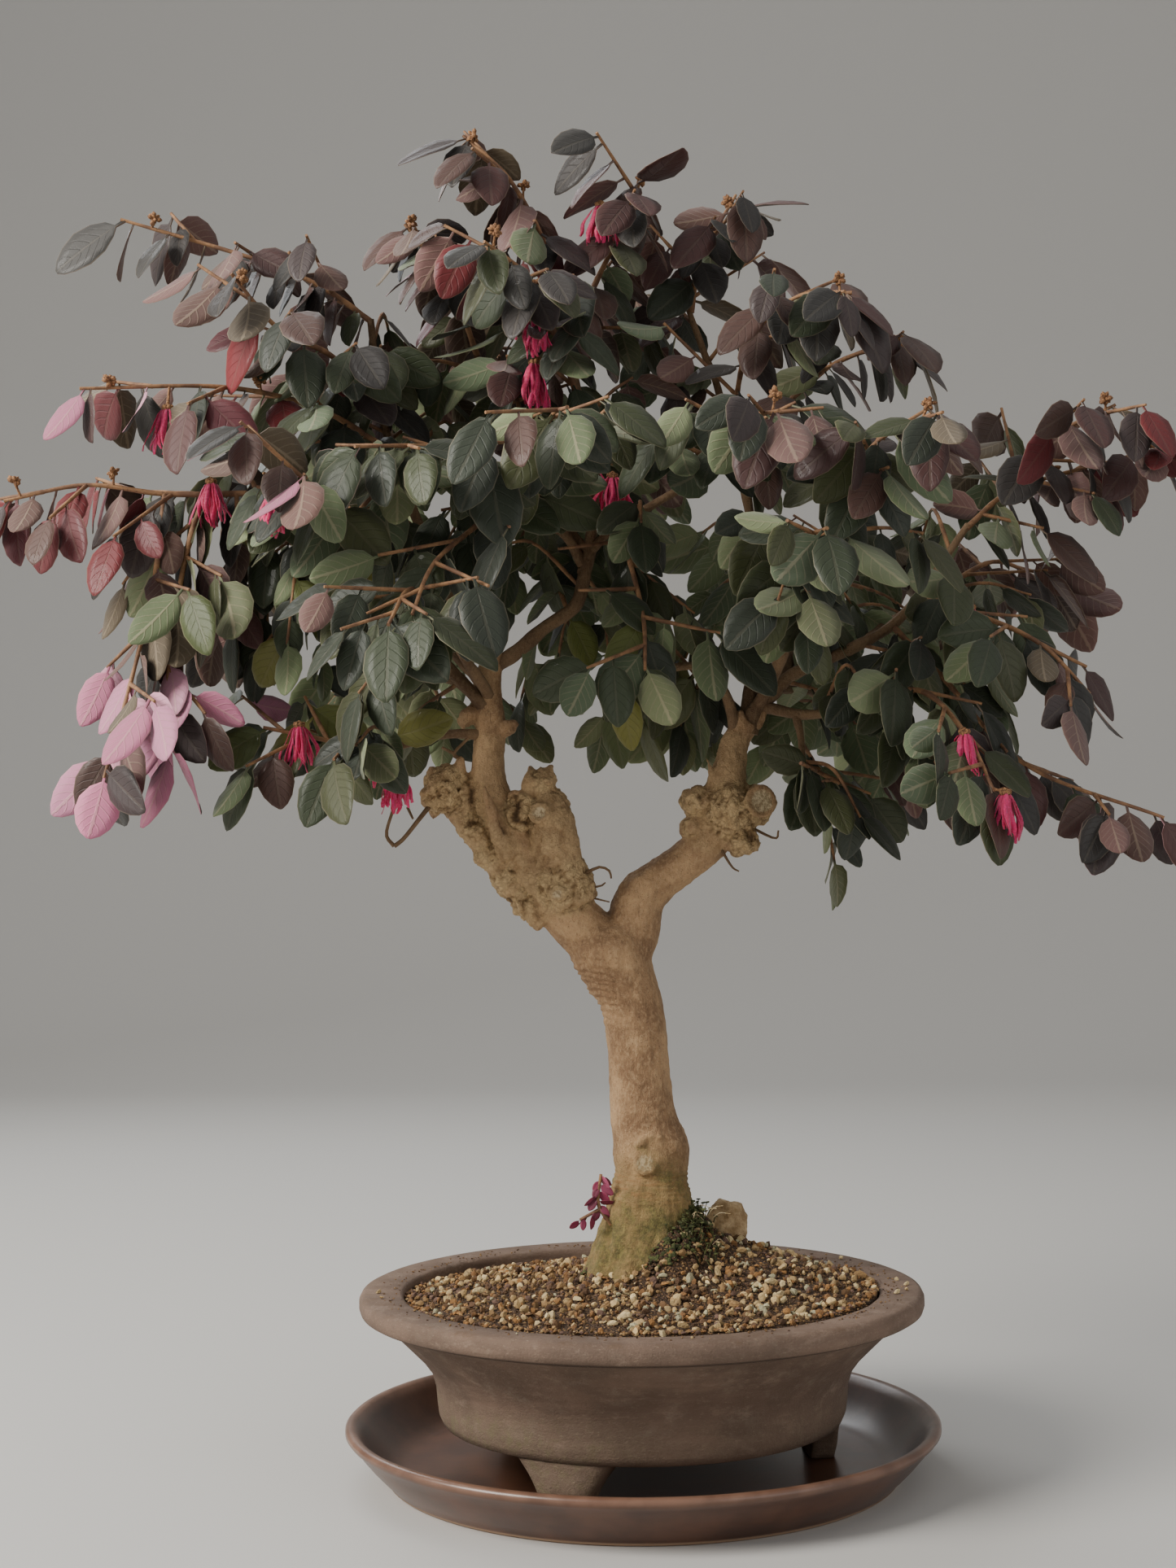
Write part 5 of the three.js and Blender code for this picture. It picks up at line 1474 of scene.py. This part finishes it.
def makePot():
    bm = bmesh.new()
    addSpun(bm, pot["outside"] + pot["inside"], pot["steps"])
    for vert in bm.verts:
        wobble = sum(noise.noise(vert.co / size) * depth for size, depth in pot["wobble"])
        vert.co += Vector((vert.co.x, vert.co.y, 0)).normalized() * wobble
    low = pot["saucerFloor"] + pot["gap"]
    height = pot["underside"] + 2 - low
    for number in range(pot["feet"]):
        made = bmesh.ops.create_cube(bm, size=1)["verts"]
        edges = list(dict.fromkeys(edge for vert in made for edge in vert.link_edges))
        bmesh.ops.subdivide_edges(bm, edges=edges, cuts=pot["footCuts"], use_grid_fill=True)
        bm.verts.ensure_lookup_table()
        foot = [vert for vert in bm.verts if max(abs(level) for level in vert.co) < 0.51]
        turn = Matrix.Rotation(math.radians(pot["footTurn"] + 120 * number), 4, "Z")
        for vert in foot:
            x, y, z = vert.co
            # round off the block's upright edges first
            pinch = ease(0.3, 0.5, abs(x)) * ease(0.3, 0.5, abs(y))
            x, y = (level * (1 - part * pinch) for level, part in zip((x, y), pot["footRounding"]))
            rise = z + 0.5
            width = between((pot["footBottom"], pot["footTop"]), rise ** pot["footWaist"])
            across = x * width
            inward = y * pot["footDepth"] * (0.8 + 0.2 * rise) - 2 * (1 - rise) + math.sin(rise * 5) * 0.5
            bend = across * across / (2 * pot["footRadius"])
            vert.co = turn @ Vector((across, -pot["footRadius"] + bend - inward, low + rise * height))
            vert.co += Vector(noise.noise_vector(vert.co / 9)) * 0.5 * ease(0, 0.15, rise)
    makePiece("clay_pot", bm, [clayMaterial()], ["pot"])


makePot()

# Glazed saucer
saucer = {
    "profile": [(0, 0), (124, 0), (129.5, 0), (131, 0.8), (132.2, 2.6), (136, 6.2), (141, 11.4),
                (145.4, 16.6), (148.2, 20.4), (150.6, 22.2), (152, 24), (151.9, 25.8), (150.4, 27.1),
                (148.2, 27.2), (146.2, 26), (143.2, 22.4), (139, 17), (134.5, 12.2), (130.4, 8.4),
                (126, 5.6), (121, 4.5), (0, 4.5)],
    "steps": 192,
}


def glazeMaterial():
    finish = Finish("glaze", Coat_Roughness=0.2, Coat_Weight=0.22)
    spot = finish.place()
    height = finish.axis(spot, "Z")
    cloud = finish.noise(34, 4, 0.6)
    speck = finish.noise(1.1, 3, 0.7)
    glaze = finish.mix(cloud.ease(0.35, 0.65), paint(70, 44, 31), paint(92, 60, 43))
    # a paler band round the saucer's edge: a painted highlight
    lipHighlight = height.ease(0.0205, 0.0262) * (0.35 + finish.noise(16, 3).ease(0.35, 0.65) * 0.4)
    glaze = finish.mix(lipHighlight, glaze, paint(130, 98, 80))
    glaze = finish.mix(speck.ease(0.66, 0.74) * 0.6, glaze, paint(44, 28, 22))
    # unglazed clay at the very foot, and dried splashes
    bare = 1 - height.ease(0.0012, 0.0024)
    glaze = finish.mix(bare, glaze, paint(166, 136, 110))
    splash = finish.noise(5, 5, 0.7).ease(0.66, 0.74)
    finish.color(finish.mix(splash * 0.18, glaze, paint(150, 126, 104)))
    finish.roughness(0.3 + splash * 0.3 + bare * 0.5 + cloud * 0.1)
    finish.relief(cloud + speck * 0.2, 0.25, 0.4)
    return finish.material


def makeSaucer():
    bm = bmesh.new()
    addSpun(bm, saucer["profile"], saucer["steps"], closed=False)
    bm.normal_update()
    makePiece("glazed_saucer", bm, [glazeMaterial()], ["saucer"])


makeSaucer()
print("pot and saucer made")

# Soil: a bed of fines under loose granules, heaped to the right of the trunk
soil = {
    "edge": 89,
    "crown": 8,
    "crownReach": 122,
    "radius": 121.4,
    "heap": {"x": 45, "y": 10, "height": 16, "spread": 45},
    "fall": 0.03,
    # small mounds against the trunk and the stone
    "mounds": [(28, -4, 18, 9), (20, -21, 11, 8), (44, 18, 4, 11), (11, -31, 8, 8)],
    # a spot of grey grit and the place of the trunk, as x, y and reach
    "grey": (100, 44, 15),
    "trunk": (3, 0, 22),
    "rings": 46,
    "steps": 120,
    "wall": [(0, 36.3), (90.8, 36.3), (95.8, 48.3), (104.8, 63.3), (118.8, 77.3)],
    "pumice": {"count": 900, "size": (1.2, 3.3), "light": (0.75, 1.15)},
    "clay": {"count": 2300, "size": (0.9, 2.7), "light": (0.65, 1.15), "likely": 0.8},
    "fines": {"count": 3000, "size": (0.5, 1.1), "light": (0.6, 1.3), "likely": 0.9},
    "kinds": 10,
    "spread": 1.6,
    # what each kind of granule draws: its flat faces, and its stretch along three axes
    "flats": 6,
    "flatReach": (0.3, 0.7),
    "stretch": [(0.8, 1.3), (0.75, 1.05), (0.6, 0.95)],
    # crumbs on the pot's rim and along the soil's edge: how many, between which radii, and their size
    "rimTop": 93,
    "rimCrumbs": {"count": 420, "radius": (124, 136), "size": (0.3, 0.75)},
    "edgeCrumbs": {"count": 500, "radius": (118, 121.4), "size": (0.8, 1.6)},
    "onRim": [(-134, -14, 2), (-131, -28, 1.4), (136, -8, 2.1), (133, 6, 1.5), (128, -30, 2.4),
              (112, 70, 1.6), (60, 118, 1.4), (134, -22, 1.2), (-60, -118, 0.9), (20, -131, 0.8)],
}
granuleColours = {
    "pumice": [paint(204, 176, 126), paint(184, 154, 106), paint(216, 194, 146), paint(166, 132, 88),
               paint(188, 162, 116), paint(180, 174, 140)],
    "clay": [paint(136, 98, 60), paint(112, 84, 56), paint(160, 116, 68), paint(92, 68, 48),
             paint(144, 114, 76), paint(172, 144, 100), paint(108, 84, 72)],
    "fines": [paint(104, 78, 52), paint(80, 58, 42), paint(128, 98, 66), paint(150, 120, 80)],
    "grey": [paint(168, 166, 156), paint(146, 142, 134), paint(186, 184, 172)],
}


def soilHeight(x, y):
    heap = soil["heap"]
    rise = 1 - (x * x + y * y) / soil["crownReach"] ** 2
    away = (x - heap["x"]) ** 2 + (y - heap["y"]) ** 2
    pile = heap["height"] * math.exp(-away / (2 * heap["spread"] ** 2))
    level = soil["edge"] + soil["crown"] * rise + pile - soil["fall"] * y
    for middleX, middleY, height, reach in soil["mounds"]:
        level += height * math.exp(-((x - middleX) ** 2 + (y - middleY) ** 2) / (2 * reach ** 2))
    return level


def granuleMaterial():
    finish = Finish("granule", Roughness=0.95)
    tint = finish.attribute("tint", "Color")
    pore = finish.cells(0.9)
    grain = finish.noise(1.3, 3, 0.6)
    shade = finish.mix(grain.ease(0.35, 0.7) * 0.4, tint, finish.mix(0.6, tint, paint(90, 62, 40)))
    finish.color(finish.mix((1 - pore.ease(0.1, 0.35)) * 0.35, shade, paint(66, 48, 34)))
    finish.relief(grain + pore * 0.6, 0.35, 0.8)
    return finish.material


def fineSoilMaterial():
    finish = Finish("soilBed", Roughness=0.98)
    grain = finish.cells(2.1, "F1", "Color")
    gaps = finish.cells(2.1, "DISTANCE_TO_EDGE")
    pick = finish.axis(grain, "X")
    stops = [(0, paint(88, 64, 44)), (0.4, paint(112, 84, 56)), (0.7, paint(134, 102, 68)),
             (0.93, paint(168, 134, 90))]
    bed = finish.ramp(pick, stops)
    # darker in the gaps between the grains: painted shade
    bed = finish.mix(1 - gaps.ease(0.02, 0.25), bed, paint(66, 48, 34))
    finish.color(finish.mix(finish.noise(0.8, 3).ease(0.5, 0.7) * 0.4, bed, paint(58, 42, 30)))
    finish.relief(gaps.ease(0, 0.35) + finish.noise(0.7, 3) * 0.4, 1.4, 1)
    return finish.material


# A stone-like granule of about unit radius
def granuleShape(seed, fine):
    chance = Random(seed)
    bm = bmesh.new()
    addBall(bm, 2 if fine else 1)
    push = [(randomWay(chance), chance.uniform(*soil["flatReach"])) for face in range(soil["flats"])]
    stretch = [chance.uniform(*pair) for pair in soil["stretch"]]
    for vert in bm.verts:
        vert.co *= 1 + 0.18 * noise.noise(vert.co * 2 + Vector((seed, 0, 0)))
        for way, reach in push:
            over = vert.co.dot(way) - reach
            if over > 0:
                vert.co -= way * over * 0.8
        vert.co = scaled(vert.co, stretch)
    return meshFrom(bm, "granule")


# How likely a granule stays where it falls: pumice gathers right of the trunk and thins at the rim
def likelyAt(kind, x):
    if kind == "pumice":
        return (1 - 0.6 * ease(70, 105, x)) * (0.3 + 0.55 * ease(-60, 40, x))
    return soil[kind]["likely"]


def makeSoil():
    bm = bmesh.new()
    rings = soil["rings"]
    top = [(soil["radius"] * (1 - ring / rings), soil["edge"] + 1) for ring in range(rings + 1)]
    addSpun(bm, soil["wall"] + top, soil["steps"], closed=False)
    for vert in bm.verts:
        if vert.co.z < soil["edge"]:
            continue
        edge = ease(soil["radius"] + 0.1, soil["radius"] - 3, vert.co.xy.length)
        relief = noise.fractal(vert.co / 9, 0.8, 2, 3) * 0.9 + noise.noise(vert.co / 2.4) * 0.7
        vert.co.z = soilHeight(vert.co.x, vert.co.y) - 0.7 + relief * edge
    bm.normal_update()
    makePiece("soil_bed", bm, [fineSoilMaterial()], ["soil"])
    finish = granuleMaterial()
    greyX, greyY, greyReach = soil["grey"]
    trunkX, trunkY, trunkReach = soil["trunk"]
    for order, kind in enumerate(("pumice", "clay", "fines")):
        chance = Random(order + 70)
        form = soil[kind]
        shapes = [granuleShape(order * 20 + number, kind == "pumice" and number % 2 == 0)
                  for number in range(soil["kinds"])]
        bm = bmesh.new()
        tint = bm.verts.layers.float_color.new("tint")
        placed = 0
        while placed < form["count"]:
            radius = (soil["radius"] - 0.4) * math.sqrt(chance.random())
            angle = chance.uniform(0, 2 * math.pi)
            x, y = radius * math.cos(angle), radius * math.sin(angle)
            patch = 0.5 + 0.5 * noise.noise(Vector((x / 26, y / 26, order * 9)))
            inTrunk = math.hypot(x - trunkX, y - trunkY) < trunkReach
            if chance.random() > likelyAt(kind, x) * (0.45 + 0.8 * patch) or inTrunk:
                continue
            size = between(form["size"], chance.random() ** soil["spread"])
            spot = Vector((x, y, soilHeight(x, y) + size * chance.uniform(-0.15, 0.55)))
            turn = Matrix.Rotation(chance.uniform(0, 6.3), 4, (chance.gauss(0, 1), chance.gauss(0, 1), 1))
            light = chance.uniform(*form["light"])
            isGrey = math.hypot(x - greyX, y - greyY) < greyReach * chance.uniform(0.3, 1.1)
            picks = granuleColours["grey" if isGrey else kind]
            shade = lit(chance.choice(picks), light)
            addCopy(bm, chance.choice(shapes), seatAt(spot, size, turn), tint, [shade])
            placed += 1
        if kind == "fines":
            crumbs = soil["rimCrumbs"]
            for crumb in range(crumbs["count"]):
                angle = chance.uniform(0, 2 * math.pi)
                away = around(angle) * between(crumbs["radius"], chance.random() ** soil["spread"])
                size = chance.uniform(*crumbs["size"])
                seat = seatAt(away + up * (soil["rimTop"] + size * 0.4), size)
                addCopy(bm, chance.choice(shapes), seat, tint, [chance.choice(granuleColours["fines"])])
            crumbs = soil["edgeCrumbs"]
            for crumb in range(crumbs["count"]):
                angle = chance.uniform(0, 2 * math.pi)
                x = math.cos(angle) * chance.uniform(*crumbs["radius"])
                y = math.sin(angle) * chance.uniform(*crumbs["radius"])
                size = chance.uniform(*crumbs["size"])
                seat = seatAt((x, y, soilHeight(x, y) + size * 0.3), size)
                addCopy(bm, chance.choice(shapes), seat, tint, [chance.choice(granuleColours["clay"])])
        if kind == "pumice":
            for x, y, size in soil["onRim"]:
                seat = seatAt((x, y, soil["rimTop"] + 0.2 + size * 0.45), size)
                addCopy(bm, chance.choice(shapes), seat, tint, [chance.choice(granuleColours["pumice"])])
        makePiece("soil_" + kind, bm, [finish], smooth=False)
        dropMeshes(shapes)


makeSoil()
print("soil made")

# Stone set in the soil behind the trunk
stone = {
    "centre": (46, 25, 119.5),
    "radii": (12.2, 9.5, 14.4),
    "flats": [((0.25, 0, 1), 0.86), ((-1, 0.1, 0.6), 0.84), ((0.6, -1, 0.1), 0.8), ((1, 0.2, -0.2), 0.86),
              ((-0.5, -0.8, 0.6), 0.84), ((1, -0.3, 0.7), 0.9)],
}


def stoneMaterial():
    finish = Finish("stone", Roughness=0.9)
    broad = finish.noise(8, 5, 0.65)
    fine = finish.noise(1.2, 4, 0.65)
    shade = finish.mix(broad.ease(0.35, 0.65), paint(150, 122, 84), paint(198, 172, 132))
    finish.color(finish.mix(fine.ease(0.55, 0.72) * 0.5, shade, paint(112, 86, 58)))
    finish.relief(broad + fine * 0.6, 1, 0.9)
    return finish.material


def makeStone():
    bm = bmesh.new()
    addBall(bm, 5)
    for vert in bm.verts:
        for way, reach in stone["flats"]:
            flat = Vector(way).normalized()
            over = vert.co.dot(flat) - reach
            if over > 0:
                vert.co -= flat * over * 0.85
        vert.co *= 1 + 0.1 * noise.fractal(vert.co * 1.8, 0.8, 2, 5)
        vert.co = Vector(stone["centre"]) + scaled(vert.co, stone["radii"])
    makePiece("loose_stone", bm, [stoneMaterial()], ["rock"])


makeStone()

# Moss and small weeds in the angle between trunk and stone, with dry strands over them
moss = {
    "patches": [((19, -22), 11, 200), ((27, -6), 11, 190), ((36, 8), 9, 70), ((11, -31), 9, 110),
                ((-27, -8), 5, 26)],
    "brownShare": 0.5,
    "size": (0.7, 1.8),
    # weeds and dry strands: middle and spread of their places, and how they lean
    "weeds": {"count": 120, "places": ((25, 6), (-12, 9)), "lean": ((0, 2.5), (-1, 2.5)),
              "height": (3, 9), "leaf": (0.8, 1.6), "tilt": 0.6},
    "strands": {"count": 12, "places": ((31, 4), (-9, 5)), "lean": ((0, 1), (-0.4, 0.6)),
                "rise": (0, 0.7), "half": 6, "length": 13, "arch": 2.5},
}


def mossMaterial():
    finish = Finish("moss", Roughness=0.95)
    fine = finish.noise(0.7, 4, 0.7)
    shade = finish.mix(finish.noise(4, 3).ease(0.35, 0.65), paint(54, 60, 32), paint(94, 98, 54))
    finish.color(finish.mix(fine.ease(0.55, 0.75), shade, paint(118, 122, 70)))
    finish.relief(fine, 0.8, 1)
    return finish.material


def strawMaterial():
    finish = Finish("dryStrand", Roughness=0.8)
    finish.color(finish.mix(finish.noise(2, 3).ease(0.4, 0.6), paint(176, 152, 112), paint(206, 188, 150)))
    return finish.material


def makeMoss():
    chance = Random(8)
    bm = bmesh.new()
    strands = []
    for (centreX, centreY), reach, count in moss["patches"]:
        for tuft in range(count):
            x = centreX + chance.gauss(0, reach * 0.45)
            y = centreY + chance.gauss(0, reach * 0.45)
            size = chance.uniform(*moss["size"])
            height = soilHeight(x, y) + 0.6 + 2.5 * ease(34, 26, math.hypot(x - 4, y)) * chance.random()
            shape = Matrix.Diagonal((size, size, size * chance.uniform(0.5, 1.1), 1))
            made = addBall(bm, 1, Matrix.Translation((x, y, height)) @ shape)
            if chance.random() < moss["brownShare"]:
                setMaterial(made, 2)
    form = moss["weeds"]
    for weed in range(form["count"]):
        x, y = [chance.gauss(*pair) for pair in form["places"]]
        foot = Vector((x, y, soilHeight(x, y)))
        lean = [chance.gauss(*pair) for pair in form["lean"]]
        head = foot + Vector((*lean, chance.uniform(*form["height"])))
        strands.append([(*foot, 0.3), (*foot.lerp(head, 0.5), 0.3), (*head, 0.25)])
        turn = Matrix.Rotation(chance.uniform(0, 6.3), 4, "Z")
        turn = turn @ Matrix.Rotation(chance.uniform(-form["tilt"], form["tilt"]), 4, "X")
        size = chance.uniform(*form["leaf"])
        shape = Matrix.Diagonal((size * 1.3, size, size * 0.3, 1))
        addBall(bm, 1, Matrix.Translation(head) @ turn @ shape)
    addTubes(bm, strands, 0)
    dry = []
    form = moss["strands"]
    for strand in range(form["count"]):
        x, y = [chance.gauss(*pair) for pair in form["places"]]
        foot = Vector((x, y, soilHeight(x, y) + 1.5))
        lean = [chance.gauss(*pair) for pair in form["lean"]]
        way = Vector((*lean, chance.uniform(*form["rise"]))).normalized()
        middle = foot + way * form["half"] + up * form["arch"]
        end = foot + way * form["length"]
        dry.append(Line([(*foot, 0.25), (*middle, 0.25), (*end, 0.15)]).sampled(2))
    addTubes(bm, dry, 0, 1)
    makePiece("moss_and_weeds", bm, [mossMaterial(), strawMaterial(), fineSoilMaterial()])


makeMoss()

# Basal shoot: a small pink sucker at the left of the root flare
sucker = {
    "lines": [[(-15, -10, 126, 1.2), (-21.5, -12.5, 137, 1), (-20, -13, 152, 0.8)],
              [(-21, -12, 134, 1), (-31, -13, 129, 0.8)]],
    "leaves": [(0, 0.3, 1), (0, 0.4, -1), (0, 0.47, 1), (0, 0.55, 1), (0, 0.62, -1), (0, 0.68, -1),
               (0, 0.74, 1), (0, 0.8, -1), (0, 0.84, 1), (0, 0.9, -1), (0, 0.95, 1), (0, 1, 0),
               (1, 0.35, -1), (1, 0.6, 1), (1, 0.8, -1), (1, 1, 0)],
    "length": 9,
    "faces": [paint(142, 44, 78), paint(112, 36, 62), paint(168, 72, 106)],
}


def makeSucker():
    shapes = [leafShape(kind) for kind in range(3)]
    bm, tint, under = leafyMesh()
    addTubes(bm, [Line(line).sampled(2) for line in sucker["lines"]], 1)
    for index, (number, share, hand) in enumerate(sucker["leaves"]):
        line = Line([point[:3] for point in sucker["lines"][number]])
        axis, normal = leafFrame(line.at(share), line.tangent(share), hand, index + 7, 0)
        seat = placing(line.at(share), axis, normal, sucker["length"] * (0.7 + 0.35 * draw(index, 3)))
        shade = sucker["faces"][index % 3]
        addCopy(bm, shapes[index % 3], seat, tint, (shade, shade), under)
    makePiece("basal_shoot_leafy", bm, [twigBark, leafTop, leafBack], ["basal_shoot"])
    dropMeshes(shapes)


makeSucker()


def netMaterial():
    finish = Finish("blackNet")
    grain = finish.noise(0.8, 2)
    finish.color(finish.mix(grain, paint(22, 22, 22), paint(38, 38, 37)))
    finish.roughness(0.5 + grain * 0.2)
    return finish.material


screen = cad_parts["drain_screen"]
screen.data.materials.clear()
screen.data.materials.append(netMaterial())
print("stone, moss, sucker and screen made")
